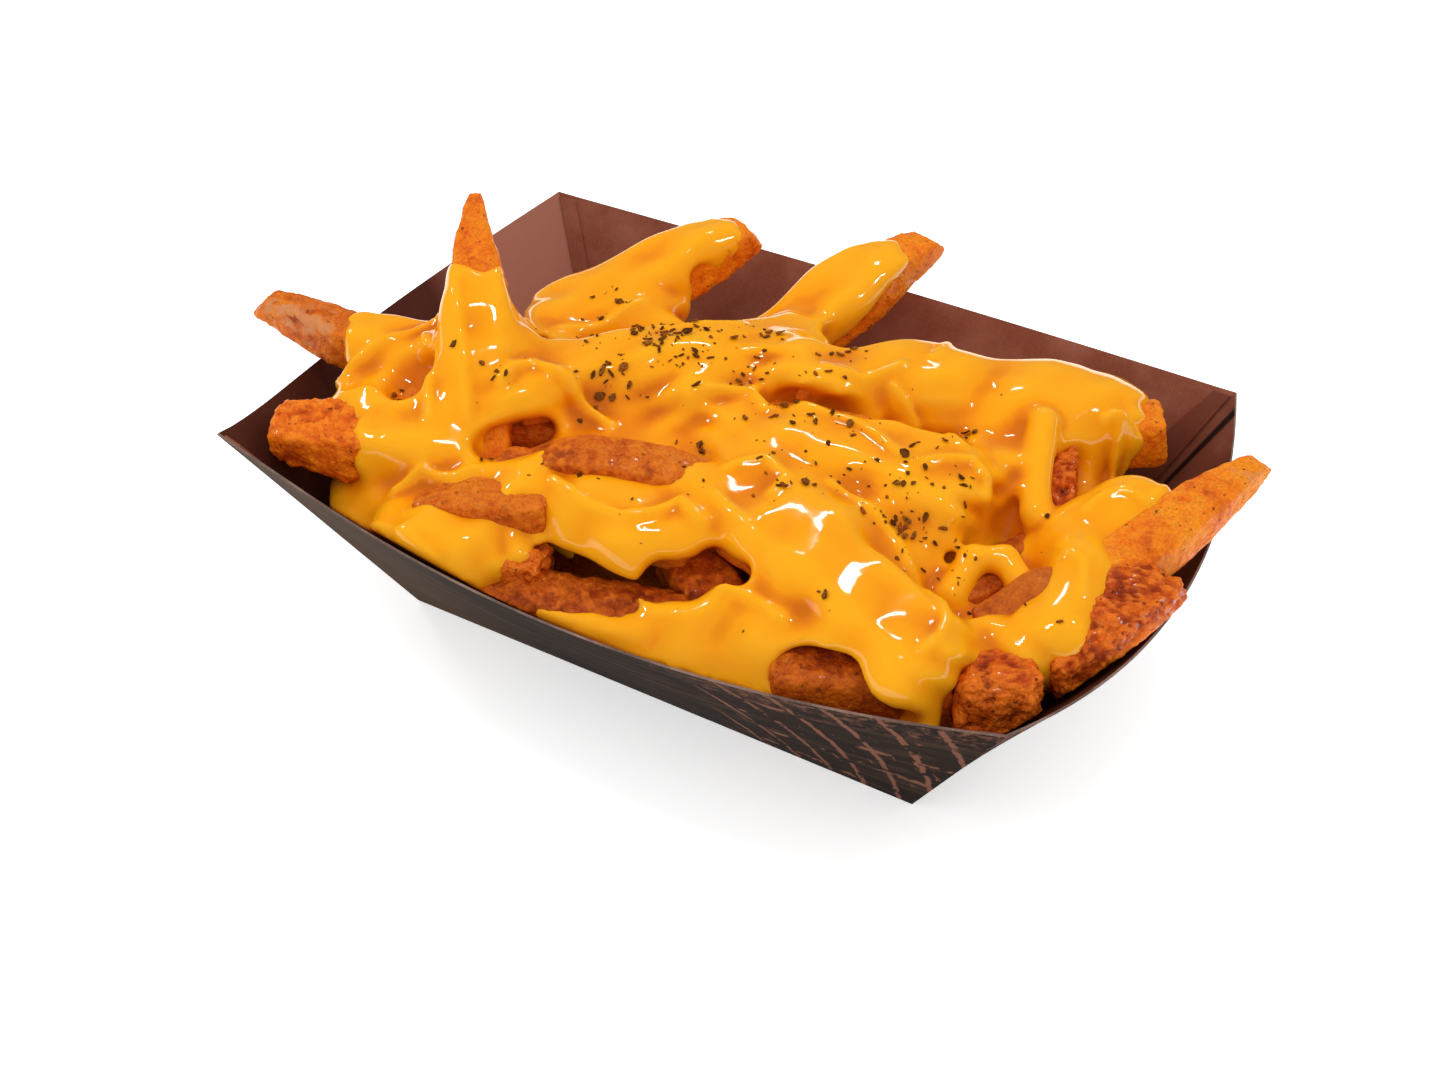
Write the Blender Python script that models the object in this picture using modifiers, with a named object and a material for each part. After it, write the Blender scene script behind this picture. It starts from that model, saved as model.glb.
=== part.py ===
"""Cheese fries in a folded paper tray, at real size, in metres.

The frame has +X along the tray, +Z up and the front long wall on -Y. The origin is the centre of the
underside of the tray's floor. There are three pieces: the paper tray, the heap of fries, and the cheese
sauce poured over them with its herb flakes.
"""

import math
import random
from collections import namedtuple

import bmesh
import bpy
import numpy as np
import openvdb
from mathutils import Matrix, Vector
from mathutils.bvhtree import BVHTree

MM = 0.001

# A height above the whole heap, and a distance that counts as outside every shape
ABOVE_ALL = 120 * MM
FAR_OUTSIDE = 20 * MM

# Tray: a flat floor and four walls that lean out, bow out and dip between the corners
FLOOR_HALF_LENGTH = 64.3 * MM
FLOOR_HALF_WIDTH = 39.5 * MM
RIM_HALF_LENGTH = 90.5 * MM
RIM_HALF_WIDTH = 62.3 * MM
CORNER_HEIGHT = 52.1 * MM
LONG_WALL_BOW = 10.7 * MM
END_WALL_BOW = 11.8 * MM
LONG_WALL_DIP = 6.2 * MM
END_WALL_DIP = 7.9 * MM
FRONT_LEFT_FLARE = 3.0 * MM
FRONT_FLARE_SHARE = 0.4
PAPER = 0.5 * MM
WALL_PANELS = 11
FLAP_STEP = 0.6 * MM
FLAP_CORNER = 0.993
FLAP_TOP = 0.045
FLAP_REACH = 0.17
FLAP_FOOT = 0.08
FLAP_HEAD = 0.985

# Narrow flaps are this much wider than their top, since they widen little towards the foot
NARROW_FLAP = 1.6

# Fries: rings along each, how close they crowd to the ends, the chamfer of long edges and the unevenness
SHOWN_FRY_CUTS = 3
COATED_FRY_CUTS = 1
END_CROWDING = 1.6
SECTION_CHAMFER = 0.25
SIZE_JITTER = 0.07
RING_SHIFT = 0.5 * MM
CRAG = 0.35 * MM
CLEARANCE = 0.3 * MM
POINTED = 0.6
STEPS_INWARD = 40
SMALLEST_STEP = 0.1 * MM

# Sauce: its coat on a fry, with how round and uneven it is and how it thins towards a free edge, how widely
# it fills the creases between fries, and its bed on the heap
COAT = 2.3 * MM
COAT_SIDE = 1.5 * MM
COAT_ROUNDING = 5.0 * MM
ROUNDEST = 0.85
COAT_WAVES = 7 * MM
COAT_UNEVENNESS = 0.10
EDGE_THINNING = 0.4
FREE_EDGE = 9 * MM
COAT_HANGS_TO = -0.15
COAT_THINNING = 0.8
WEB = 10.5 * MM
BED_DEPTH = 4.5 * MM
MOUND_BLEND = 6.0 * MM
HOLLOW_EDGE = 3.0 * MM
SAUCE_LOWEST = 35 * MM
WALL_GAP = 1.2 * MM

# Core of the heap: how softly its low fries join, its gap to the walls and its gap to the sauce
CORE_BLEND = 3.0 * MM
CORE_GAP = 2.6 * MM
CORE_CLEARANCE = 1.6 * CLEARANCE

# Spacing of the points that the soft shapes are worked out on, and the triangles that their surfaces keep
SAUCE_VOXEL = 1.1 * MM
SAUCE_TRIANGLES = 3100
CORE_VOXEL = 2.5 * MM
CORE_TRIANGLES = 260
SAUCE_REGION = ((-118 * MM, -80 * MM, 26 * MM), (105 * MM, 86 * MM, 92 * MM))
CORE_REGION = ((-105 * MM, -80 * MM, -3 * MM), (105 * MM, 80 * MM, 66 * MM))

# Herb flakes: how many, their sizes, and where they lie: middle in mm, spread in mm and share of all
FLAKES = 56
FLAKE_LONGEST = 2.8 * MM
FLAKE_SHORTEST = 1.4 * MM
FLAKE_WIDTHS = (0.35, 0.6)
FLAKE_HEIGHTS = (0.5 * MM, 0.8 * MM)
FLAKE_SKEW = 0.125
FLAKE_SUNK = 0.25 * MM
FLAKE_SPACING = 0.4 * MM
FLATTEST_FOR_FLAKES = 0.6
FLAKE_TRIES = 60
SCATTER = (
    ((-24, 2), (17, 11), 0.45),
    ((38, -12), (20, 12), 0.30),
    ((-6, -30), (40, 18), 0.25),
)

Fry = namedtuple("Fry", "name inner outer wide thick bow inner_size outer_size coat lean cut")

# Ends in mm, then width, thickness and upward bow in mm, the size of each end against the middle, the share
# of the length under sauce, which side and top stay straight where the outer end narrows, and how far that
# end is cut off square in degrees
FRIES = (
    Fry("standing", (-42, -38, 44), (-72, 5, 84), 13, 11, 2, 0.9, 0.2, (0.0, 0.69), (0, 0), 20),
    Fry("over_left_rim", (-56, -14, 46), (-114, -26, 56), 13, 13, 1, 0.9, 0.45, (0.1, 0.6), (-0.9, 0.6), 35),
    Fry("left_corner", (-50, -38, 46), (-88, -51, 47), 17, 12, 1, 0.9, 0.75, (0.0, 0.5), (0, 0.4), -15),
    Fry("back_left_tip", (-54, 20, 46), (-30, 56, 61), 14, 12, 1, 0.9, 0.7, (0.0, 0.92), (0, 0), 15),
    Fry("over_back_rim", (-13, 26, 40), (7, 79, 58), 16, 12, 2, 0.9, 0.5, (0.1, 0.82), (0, 0), 30),
    Fry("back_right_block", (40, 26, 46), (80, 47, 47), 14, 14, 0, 0.9, 0.95, (0.0, 0.84), (0, 0), 5),
    Fry("over_right_rim", (82, -26, 44), (105, 33, 57), 12, 11, 1, 0.9, 0.4, (0.0, 0.0), (0, 0), 35),
    Fry("right_rough", (86, -34, 43), (99.5, -4, 50), 15, 13, 1, 0.9, 0.8, (0.0, 0.0), (0, 0), 15),
    Fry("long_top", (2, -3, 51), (58, -5, 51), 19, 12, 2, 0.9, 0.95, (0.0, 1.0), (0, 0), 5),
    Fry("bare_strip", (-35, -41, 52), (15, -28, 53), 12, 10, 3, 0.6, 0.95, (0.0, 0.0), (0, 0), 10),
    Fry("front_ridge", (8, -26, 51), (71, -51, 49), 18, 12, 2, 0.9, 0.8, (0.0, 1.0), (0, 0), 5),
    Fry("front_round", (44, -62, 39), (74, -44, 39), 15, 13, 0, 0.75, 0.9, (0.0, 0.0), (0, 0), 5),
    Fry("end_facing", (76, -34, 42), (84, -50, 43), 17, 15, 0, 0.9, 0.9, (0.0, 0.3), (0, 0), 5),
    Fry("bare_wedge", (72, -31, 44.5), (89, -11, 51.5), 12, 11, 1, 0.8, 0.35, (0.0, 0.0), (0, 0), 5),
    Fry("front_drape", (-26, -41, 48), (12, -39, 47), 14, 11, 1, 0.9, 0.8, (0.0, 1.0), (0, 0), 5),
    Fry("bare_patch", (-17, -48, 51), (-46, -57, 47.5), 12, 10, 0, 0.9, 0.4, (0.0, 0.0), (0, 0), 15),
    Fry("crumbly_end", (-14, -56, 41), (-40, -60, 43), 12, 11, 0, 0.9, 0.7, (0.5, 1.0), (0, 0), 10),
    Fry("front_low", (-24, -63, 36), (20, -53, 38), 13, 12, 0, 0.9, 0.9, (0.0, 0.0), (0, 0), 5),
    Fry("back_lump_left", (-44, -22, 54), (-12, 10, 54), 15, 12, 2, 0.9, 0.8, (0.0, 1.0), (0, 0), 5),
    Fry("back_lump_mid", (-14, -8, 54), (0, 32, 51), 14, 12, 2, 0.9, 0.8, (0.0, 1.0), (0, 0), 5),
    Fry("back_lump_right", (8, 8, 56), (36, 31, 51), 14, 12, 1, 0.85, 0.8, (0.0, 1.0), (0, 0), 5),
    Fry("back_left_edge", (-62, 12, 47), (-34, 26, 48), 13, 11, 2, 0.8, 0.9, (0.0, 1.0), (0, 0), 5),
    Fry("left_cross", (-46, -24, 50), (-54, 8, 48), 13, 11, 1, 0.9, 0.8, (0.0, 1.0), (0, 0), 5),
    Fry("back_right_long", (36, 26, 50), (70, 50, 45), 14, 12, 1, 0.9, 0.8, (0.0, 1.0), (0, 0), 5),
    Fry("back_right_cross", (56, 8, 46), (61, 42, 48), 13, 12, 1, 0.9, 0.8, (0.0, 1.0), (0, 0), 5),
    Fry("stub", (71, 7, 43), (64, 25, 51), 9, 8, 0, 0.9, 0.8, (0.0, 0.0), (0, 0), 5),
    Fry("left_front_strand", (-82, -36, 44), (-54, -25, 48), 12, 11, 1, 0.8, 0.9, (0.0, 1.0), (0, 0), 5),
    Fry("hole_stub", (-28, -17, 48), (-47, -26, 45), 11, 10, 0, 0.8, 0.8, (0.0, 0.0), (0, 0), 5),
    Fry("under_ridge", (2, -34, 41), (30, -50, 38), 13, 12, 0, 0.9, 0.9, (0.0, 0.0), (0, 0), 5),
    Fry("right_valley", (62, -24, 42), (80, 12, 42), 13, 12, 0, 0.9, 0.9, (0.0, 0.0), (0, 0), 5),
)

# Layers of fries low in the tray: height, half length and half width in mm, and how many fries; then the
# width, thickness and lengths of those fries in mm, and how unevenly they lie
LAYERS = ((9, 56, 32, 15), (20, 66, 42, 20))
LOW_FRY = (12, 11)
LOW_FRY_LENGTHS = (55, 80)
LOW_FRY_TURN = 0.35
LOW_FRY_SLOPE = 0.05
LOW_FRY_SHIFT = 3
LOW_FRY_SLIDE = 0.55
LOW_FRY_LIFT = 2

# Mounds under the sauce: centre and half sizes in mm
MOUNDS = (
    ((0, -16, 24), (80, 45, 32)),
    ((-52, -38, 28), (30, 27, 19)),
    ((24, -50, 28), (46, 24, 16)),
    ((68, -6, 28), (25, 42, 19)),
    ((-24, 14, 28), (50, 24, 23)),
    ((44, 24, 28), (38, 27, 22)),
)

# Dents in the sauce: centre and half sizes in mm
HOLLOWS = (
    ((-4, -55, 41), (20, 5, 6)),
    ((55, -58, 43), (14, 7, 8)),
    ((64, -5, 49), (3.5, 8, 6)),
    ((84, -30, 47), (6, 5, 4)),
    ((-66, -31, 58), (7, 7, 6)),
    ((70, 18, 50), (5, 8, 5)),
    ((10, 0, 60), (5, 2.4, 4.5)),
    ((19, 2, 59), (6, 2.8, 5)),
    ((28, 5, 58), (5, 2.8, 5)),
    ((13, 3, 57), (6, 3, 3.5)),
    ((22, 5, 56.5), (6, 3, 3.5)),
)

# Gaps in the sauce where a fry or the dark shows: deep end and top in mm, and the radius at each
GAPS = (
    ((-46, -31, 46), (-34, -46, 60), 2.4, 3.0),
    ((-44, -28, 46), (-32, -42, 60), 3.0, 3.8),
    ((-41, -24, 46), (-30, -38, 60), 2.8, 3.6),
    ((-38, -21, 47), (-28, -34, 59), 2.2, 2.8),
    ((-71, 8, 50), (-61, -4, 60), 2.2, 2.8),
    ((-56, 4, 48), (-45, -11, 60), 1.8, 3.2),
    ((15, -37, 42), (22, -49, 54), 3.2, 3.6),
    ((21, -38, 42), (27, -48, 52), 2.6, 3.0),
    ((-18, -51, 42), (-4, -48, 41.5), 3.6, 3.8),
    ((-4, -48, 42), (6, -46, 41.5), 3.2, 3.8),
    ((-4, -54, 41), (8, -51, 41.5), 3.4, 3.8),
    ((8, -45, 41), (15, -56, 52), 3.6, 4.2),
    ((13, -44, 42), (20, -54, 53), 3.6, 4.0),
    ((13, -41, 42), (18, -50, 48), 2.6, 2.6),
    ((58, -17, 46), (64, -11, 46), 2.6, 2.6),
    ((57, -58, 46), (69, -61, 44), 3.2, 3.6),
    ((-95, -29, 47), (-83, -22, 48), 1.4, 1.8),
    ((-83, -22, 48), (-74, -11, 50), 1.8, 1.8),
    ((-36, 43, 51), (-33, 38, 57), 2.4, 2.6),
    ((4, 50, 49), (13, 74, 57), 3.0, 4.6),
    ((67, -16, 45), (70, -24, 52), 2.4, 2.6),
)

# Thick places and drips in the sauce: two ends in mm, and the radius at each
SWELLS = (
    ((-61, -11, 62), (-50, -25, 49), 7.0, 11.0),
    ((79, 0, 48), (84, 11, 50), 6.5, 8.0),
    ((85, -12, 50), (86, -27, 47.5), 6.5, 7.0),
    ((-9, -46, 48), (0, -46, 48), 5.5, 5.5),
    ((4, -46, 48), (12, -41, 49), 5.0, 3.5),
    ((-48, -61, 41), (-29, -66, 39), 4.5, 3.4),
    ((18, -53, 38), (50, -58, 38), 8.0, 7.0),
    ((-43, -62, 41), (-20, -56, 41), 3.5, 3.0),
    ((88, 6, 51), (92, 12, 52.5), 3.5, 3.0),
    ((-36, -43, 50), (-28, -43, 51), 3.5, 3.5),
    ((27, 23, 54), (33, 28, 54), 6.0, 6.0),
    ((70, -55, 48), (72, -57, 42), 3.6, 3.4),
)


def clear_scene():
    for old in list(bpy.data.objects):
        bpy.data.objects.remove(old, do_unlink=True)


def new_collection(name):
    collection = bpy.data.collections.new(name)
    bpy.context.scene.collection.children.link(collection)
    return collection


def new_object(name, mesh, collection):
    thing = bpy.data.objects.new(name, mesh)
    collection.objects.link(thing)
    if collection.hide_render:
        thing.display_type = "WIRE"
    return thing


def mesh_of(bm, name):
    mesh = bpy.data.meshes.new(name)
    bm.to_mesh(mesh)
    bm.free()
    return mesh


def plain_material(name, colour, roughness):
    material = bpy.data.materials.new(name)
    material.use_nodes = True
    shader = material.node_tree.nodes["Principled BSDF"]
    shader.inputs["Base Color"].default_value = (*colour, 1.0)
    shader.inputs["Roughness"].default_value = roughness
    shader.inputs["Metallic"].default_value = 0.0
    return material


def applied(thing):
    """The object with its modifiers made part of its mesh."""
    graph = bpy.context.evaluated_depsgraph_get()
    mesh = bpy.data.meshes.new_from_object(thing.evaluated_get(graph))
    thing.modifiers.clear()
    thing.data = mesh
    thing.data.materials.clear()
    return thing


def largest_body(thing):
    """Drops the loose scraps that a cut leaves and keeps the biggest body."""
    bm = bmesh.new()
    bm.from_mesh(thing.data)
    left = set(bm.verts)
    bodies = []
    while left:
        body = {left.pop()}
        edge = list(body)
        while edge:
            near = {e.other_vert(v) for v in edge for e in v.link_edges} - body
            body |= near
            edge = list(near)
        left -= body
        bodies.append(body)
    biggest = max(bodies, key=len)
    bmesh.ops.delete(bm, geom=[v for v in bm.verts if v not in biggest], context="VERTS")
    bm.to_mesh(thing.data)
    bm.free()


def wall_rim(side_share, long_wall):
    """Outward half size and height of the rim at a place from -1 to 1 along its wall."""
    swell = 1 - side_share * side_share
    if long_wall:
        return RIM_HALF_WIDTH + LONG_WALL_BOW * swell, CORNER_HEIGHT - LONG_WALL_DIP * swell
    return RIM_HALF_LENGTH + END_WALL_BOW * swell, CORNER_HEIGHT - END_WALL_DIP * swell


def wall_point(along, side, climb, long_wall):
    """A point of the paper: a wall's lines run straight from the floor's edge to the bowed rim."""
    reach, height = wall_rim(along, long_wall)
    if long_wall:
        low = Vector((along * FLOOR_HALF_LENGTH, side * FLOOR_HALF_WIDTH, 0))
        high = Vector((along * RIM_HALF_LENGTH, side * reach, height))
    else:
        low = Vector((side * FLOOR_HALF_LENGTH, along * FLOOR_HALF_WIDTH, 0))
        high = Vector((side * reach, along * RIM_HALF_WIDTH, height))
    point = low.lerp(high, climb)
    if point.x < 0 and point.y < 0:
        share = abs(along) ** 6 * climb
        point -= Vector((1, FRONT_FLARE_SHARE, 0)) * FRONT_LEFT_FLARE * share
    return point


def tray_sheet(collection):
    """One folded sheet: an open box whose walls are bent to shape, then given the paper's thickness."""
    bm = bmesh.new()
    bmesh.ops.create_cube(bm, size=2)
    top = [f for f in bm.faces if f.normal.z > 0.5]
    bmesh.ops.delete(bm, geom=top, context="FACES_ONLY")
    bmesh.ops.delete(bm, geom=[e for e in bm.edges if not e.link_faces], context="EDGES")
    flat = [e for e in bm.edges if abs(e.verts[0].co.z - e.verts[1].co.z) < 0.5]
    bmesh.ops.subdivide_edges(bm, edges=flat, cuts=WALL_PANELS, use_grid_fill=True)
    for vert in bm.verts:
        a, b, c = vert.co
        climb = (c + 1) / 2
        if abs(b) > 0.999:
            vert.co = wall_point(a, math.copysign(1, b), climb, True)
        elif abs(a) > 0.999:
            vert.co = wall_point(b, math.copysign(1, a), climb, False)
        else:
            vert.co = Vector((a * FLOOR_HALF_LENGTH, b * FLOOR_HALF_WIDTH, 0))
    bmesh.ops.dissolve_limit(bm, angle_limit=math.radians(0.5), verts=bm.verts, edges=bm.edges)
    sheet = new_object("tray", mesh_of(bm, "tray"), collection)
    paper = sheet.modifiers.new("paper", "SOLIDIFY")
    paper.thickness = PAPER
    paper.offset = -1
    paper.use_even_offset = True
    return applied(sheet)


def corner_flap(side_x, side_y, reach, guides):
    """The gusset of one corner: a flat plate of folded paper glued to the inside of the long wall."""
    bm = bmesh.new()
    bmesh.ops.create_cube(bm, size=1)
    for vert in bm.verts:
        across = vert.co.x + 0.5
        up = vert.co.z + 0.5
        depth = PAPER / 2 if vert.co.y > 0 else PAPER + FLAP_STEP
        along = side_x * (FLAP_CORNER - across * (FLAP_TOP + (reach - FLAP_TOP) * (1 - up)))
        climb = FLAP_FOOT + (FLAP_HEAD - FLAP_FOOT) * up
        place = wall_point(along, side_y, climb, True)
        reach_out, height = wall_rim(along, True)
        lean = Vector((0, -side_y * height, reach_out - FLOOR_HALF_WIDTH)).normalized()
        vert.co = place + lean * depth
    bmesh.ops.recalc_face_normals(bm, faces=bm.faces)
    name = f"flap_{'right' if side_x > 0 else 'left'}_{'back' if side_y > 0 else 'front'}"
    return new_object(name, mesh_of(bm, name), guides)


def fused(thing, collection, solver="EXACT"):
    """One Boolean union with all the pieces of a collection, applied, and the pieces removed."""
    join = thing.modifiers.new("join", "BOOLEAN")
    join.operation = "UNION"
    join.operand_type = "COLLECTION"
    join.collection = collection
    join.solver = solver
    applied(thing)
    for piece in list(collection.objects):
        bpy.data.objects.remove(piece, do_unlink=True)
    return thing


def cut_by(thing, cutter, solver="MANIFOLD"):
    cut = thing.modifiers.new("cut", "BOOLEAN")
    cut.operation = "DIFFERENCE"
    cut.object = cutter
    cut.solver = solver
    return applied(thing)


def place_of(fry):
    """Start, length and the three axes of a fry: along it, across it and up."""
    inner = Vector(fry.inner) * MM
    run = Vector(fry.outer) * MM - inner
    along = run.normalized()
    across = Vector((0, 0, 1)).cross(along).normalized()
    return inner, run.length, along, across, along.cross(across)


def end_taper(fry, share):
    """Size of the section at a share of the length: full in the middle, smaller towards each end."""
    near = (1 - min(share / 0.5, 1)) ** 3
    far = (1 - min((1 - share) / 0.5, 1)) ** (1.5 if fry.outer_size < POINTED else 3)
    return 1 - near * (1 - fry.inner_size) - far * (1 - fry.outer_size)


def wall_room(x, y, z):
    """Distance from points inside the tray to its nearest inner face, negative past it."""
    middle = CORNER_HEIGHT - LONG_WALL_DIP / 2
    spread = np.clip(z / middle, 0, 2)
    along = np.clip(x / (FLOOR_HALF_LENGTH + (RIM_HALF_LENGTH - FLOOR_HALF_LENGTH) * spread), -1, 1)
    reach, height = wall_rim(along, True)
    face = FLOOR_HALF_WIDTH + (reach - FLOOR_HALF_WIDTH) * z / height
    long_room = (face - np.abs(y)) * height / np.hypot(height, reach - FLOOR_HALF_WIDTH)
    along = np.clip(y / (FLOOR_HALF_WIDTH + (RIM_HALF_WIDTH - FLOOR_HALF_WIDTH) * spread), -1, 1)
    reach, height = wall_rim(along, False)
    face = FLOOR_HALF_LENGTH + (reach - FLOOR_HALF_LENGTH) * z / height
    end_room = (face - np.abs(x)) * height / np.hypot(height, reach - FLOOR_HALF_LENGTH)
    return np.minimum(np.minimum(long_room, end_room), z) - PAPER


def over_the_rim(fry):
    """Whether a fry's outer end lies past the rim, so that it crosses above the wall."""
    end = Vector(fry.outer) * MM
    long_reach = wall_rim(max(-1, min(1, end.x / RIM_HALF_LENGTH)), True)[0]
    end_reach = wall_rim(max(-1, min(1, end.y / RIM_HALF_WIDTH)), False)[0]
    return abs(end.x) > end_reach or abs(end.y) > long_reach


def kept_inside(point, gap):
    """The point moved towards the tray's middle until it clears the walls."""
    for _ in range(STEPS_INWARD):
        lack = gap - float(wall_room(point.x, point.y, point.z))
        if lack <= 0:
            break
        inward = Vector((-point.x / RIM_HALF_LENGTH, -point.y / RIM_HALF_WIDTH, 0)).normalized()
        point = point + (inward + Vector((0, 0, 0.5))) * max(lack, SMALLEST_STEP)
    return point


def fry_bar(fry, grow, collection):
    """One fry: a chamfered bar, cut into rings and bent, tapered and made a little uneven."""
    rng = random.Random(fry.name)
    bm = bmesh.new()
    bmesh.ops.create_cube(bm, size=1)
    edges = [e for e in bm.edges if abs(e.verts[0].co.x - e.verts[1].co.x) > 0.5]
    bmesh.ops.bevel(bm, geom=edges, offset=SECTION_CHAMFER, segments=1, affect="EDGES")
    edges = [e for e in bm.edges if abs(e.verts[0].co.x - e.verts[1].co.x) > 0.5]
    cuts = COATED_FRY_CUTS if fry.coat == (0.0, 1.0) else SHOWN_FRY_CUTS
    bmesh.ops.subdivide_edges(bm, edges=edges, cuts=cuts)
    bmesh.ops.triangulate(bm, faces=bm.faces)
    start, length, along, across, up = place_of(fry)
    free = over_the_rim(fry)
    crag_size = CRAG if cuts == SHOWN_FRY_CUTS else 0
    widths = [1 + rng.uniform(-SIZE_JITTER, SIZE_JITTER) for _ in range(cuts + 2)]
    heights = [1 + rng.uniform(-SIZE_JITTER, SIZE_JITTER) for _ in range(cuts + 2)]
    shifts = [rng.uniform(-RING_SHIFT, RING_SHIFT) for _ in range(cuts + 2)]
    for vert in bm.verts:
        ring = round((vert.co.x + 0.5) * (cuts + 1))
        half = 2 * vert.co.x
        share = 0.5 + 0.5 * math.copysign(1 - (1 - abs(half)) ** END_CROWDING, half)
        size = end_taper(fry, share)
        wide = vert.co.y * fry.wide * MM * size * widths[ring]
        thick = vert.co.z * fry.thick * MM * size * heights[ring]
        wide += math.copysign(grow, wide)
        thick += math.copysign(grow, thick)
        crag = Vector([rng.uniform(-crag_size, crag_size) for _ in range(3)])
        narrowed = (1 - size) / 2 if share > 0.5 else 0
        lift = 4 * share * (1 - share) * fry.bow * MM + fry.lean[1] * fry.thick * MM * narrowed
        aside = fry.lean[0] * fry.wide * MM * narrowed + shifts[ring]
        past_end = math.copysign(grow, half) if abs(half) > 0.999 else 0
        if half > 0.999:
            past_end -= thick * math.sin(math.radians(fry.cut))
        middle = start + along * (share * length + past_end)
        point = middle + across * (wide + aside) + up * (thick + lift) + crag
        vert.co = point if free else kept_inside(point, WALL_GAP - grow)
    return new_object(fry.name, mesh_of(bm, fry.name), collection)


class Field:
    """Distances to a soft shape on a grid of points, negative inside it."""

    def __init__(self, low, high, voxel):
        self.low = np.array(low, np.float64)
        self.voxel = voxel
        self.count = np.ceil((np.array(high) - self.low) / voxel).astype(int) + 1
        self.values = np.full(self.count, FAR_OUTSIDE, np.float32)

    def part(self, low, high, pad):
        """The grid's slices for a box, and its points' coordinates."""
        first = ((np.array(low) - pad - self.low) / self.voxel).astype(int)
        last = ((np.array(high) + pad - self.low) / self.voxel).astype(int) + 2
        first, last = np.clip(first, 0, self.count - 1), np.clip(last, 1, self.count)
        cut = tuple(slice(a, b) for a, b in zip(first, last))
        lines = [self.low[i] + self.voxel * np.arange(first[i], last[i]) for i in range(3)]
        return cut, np.meshgrid(*lines, indexing="ij", sparse=True)

    def grid(self):
        """All the grid's points, as three arrays that combine."""
        lines = [self.low[i] + self.voxel * np.arange(self.count[i]) for i in range(3)]
        return np.meshgrid(*lines, indexing="ij", sparse=True)

    def add(self, low, high, shape, blend):
        cut, points = self.part(low, high, 4 * blend)
        self.values[cut] = soft_min(self.values[cut], shape(*points), blend)

    def remove(self, low, high, shape, blend):
        cut, points = self.part(low, high, 4 * blend)
        self.values[cut] = -soft_min(-self.values[cut], shape(*points), blend)

    def surface(self, name, level, triangles):
        """The closed mesh at one level, made lighter."""
        grid = openvdb.FloatGrid(FAR_OUTSIDE)
        grid.copyFromArray(self.values)
        points, quads = grid.convertToQuads(level)
        mesh = bpy.data.meshes.new(name)
        mesh.from_pydata((points * self.voxel + self.low).tolist(), [], quads.tolist())
        bm = bmesh.new()
        bm.from_mesh(mesh)
        bmesh.ops.recalc_face_normals(bm, faces=bm.faces)
        bmesh.ops.triangulate(bm, faces=bm.faces)
        bm.to_mesh(mesh)
        bm.free()
        thing = new_object(name, mesh, bpy.context.scene.collection)
        fewer = thing.modifiers.new("fewer", "DECIMATE")
        fewer.ratio = min(1.0, triangles / len(mesh.polygons))
        fewer.use_collapse_triangulate = True
        return applied(thing)


def soft_min(a, b, blend):
    """The nearer of two shapes, with the crease between them filled."""
    near = np.maximum(blend - np.abs(a - b), 0) / blend
    return np.minimum(a, b) - near * near * blend / 4


def egg(centre, sizes, floor_down=False):
    """Distance to an ellipsoid, or to one drawn straight down below its middle."""
    middle = [c * MM for c in centre]
    radii = [r * MM for r in sizes]

    def distance(x, y, z):
        rise = np.maximum(z - middle[2], 0) if floor_down else z - middle[2]
        ax, ay, az = (x - middle[0]) / radii[0], (y - middle[1]) / radii[1], rise / radii[2]
        near = np.sqrt(ax * ax + ay * ay + az * az) + 1e-6
        steep = np.sqrt((ax / radii[0]) ** 2 + (ay / radii[1]) ** 2 + (az / radii[2]) ** 2) + 1e-6
        return near * (near - 1) / steep

    return distance


def coat_of(fry):
    """Distance to the sauce on a fry: a rounded bar that hangs over its sides and is thin at a free edge."""
    start, length, along, across, up = place_of(fry)
    begin, end = (share * length for share in fry.coat)
    low_edge = COAT_HANGS_TO * fry.thick * MM
    rng = random.Random("coat of " + fry.name)
    turns = [rng.uniform(0, math.tau) for _ in range(4)]

    def distance(x, y, z):
        dx, dy, dz = x - start.x, y - start.y, z - start.z
        far = dx * along.x + dy * along.y + dz * along.z
        side = dx * across.x + dy * across.y + dz * across.z
        rise = dx * up.x + dy * up.y + dz * up.z
        share = np.clip(far / length, 0, 1)
        rise = rise - 4 * share * (1 - share) * fry.bow * MM
        thin = 1 - share ** 3 * (1 - fry.outer_size) * COAT_THINNING
        free = np.clip((end - far) / FREE_EDGE, 0, 1) if fry.coat[1] < 1 else 1.0
        full = EDGE_THINNING + (1 - EDGE_THINNING) * free * free * (3 - 2 * free)
        uneven = 1 + COAT_UNEVENNESS * np.sin(far / COAT_WAVES + turns[2])
        high_edge = 0.5 * fry.thick * MM * thin + COAT * full * uneven
        half_side = fry.wide * MM / 2 * thin * (2 * uneven + 1) / 3 + COAT_SIDE * full
        half_rise = (high_edge - low_edge) / 2
        rounding = np.minimum(COAT_ROUNDING, ROUNDEST * half_rise)
        qx = np.abs(far - (begin + end) / 2) - (end - begin) / 2 - COAT / 2 + rounding
        qy = np.abs(side) - half_side + rounding
        qz = np.abs(rise - (high_edge + low_edge) / 2) - half_rise + rounding
        outside = np.sqrt(np.maximum(qx, 0) ** 2 + np.maximum(qy, 0) ** 2 + np.maximum(qz, 0) ** 2)
        inside = np.minimum(np.maximum(np.maximum(qx, qy), qz), 0)
        return outside + inside - rounding

    return distance


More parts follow.
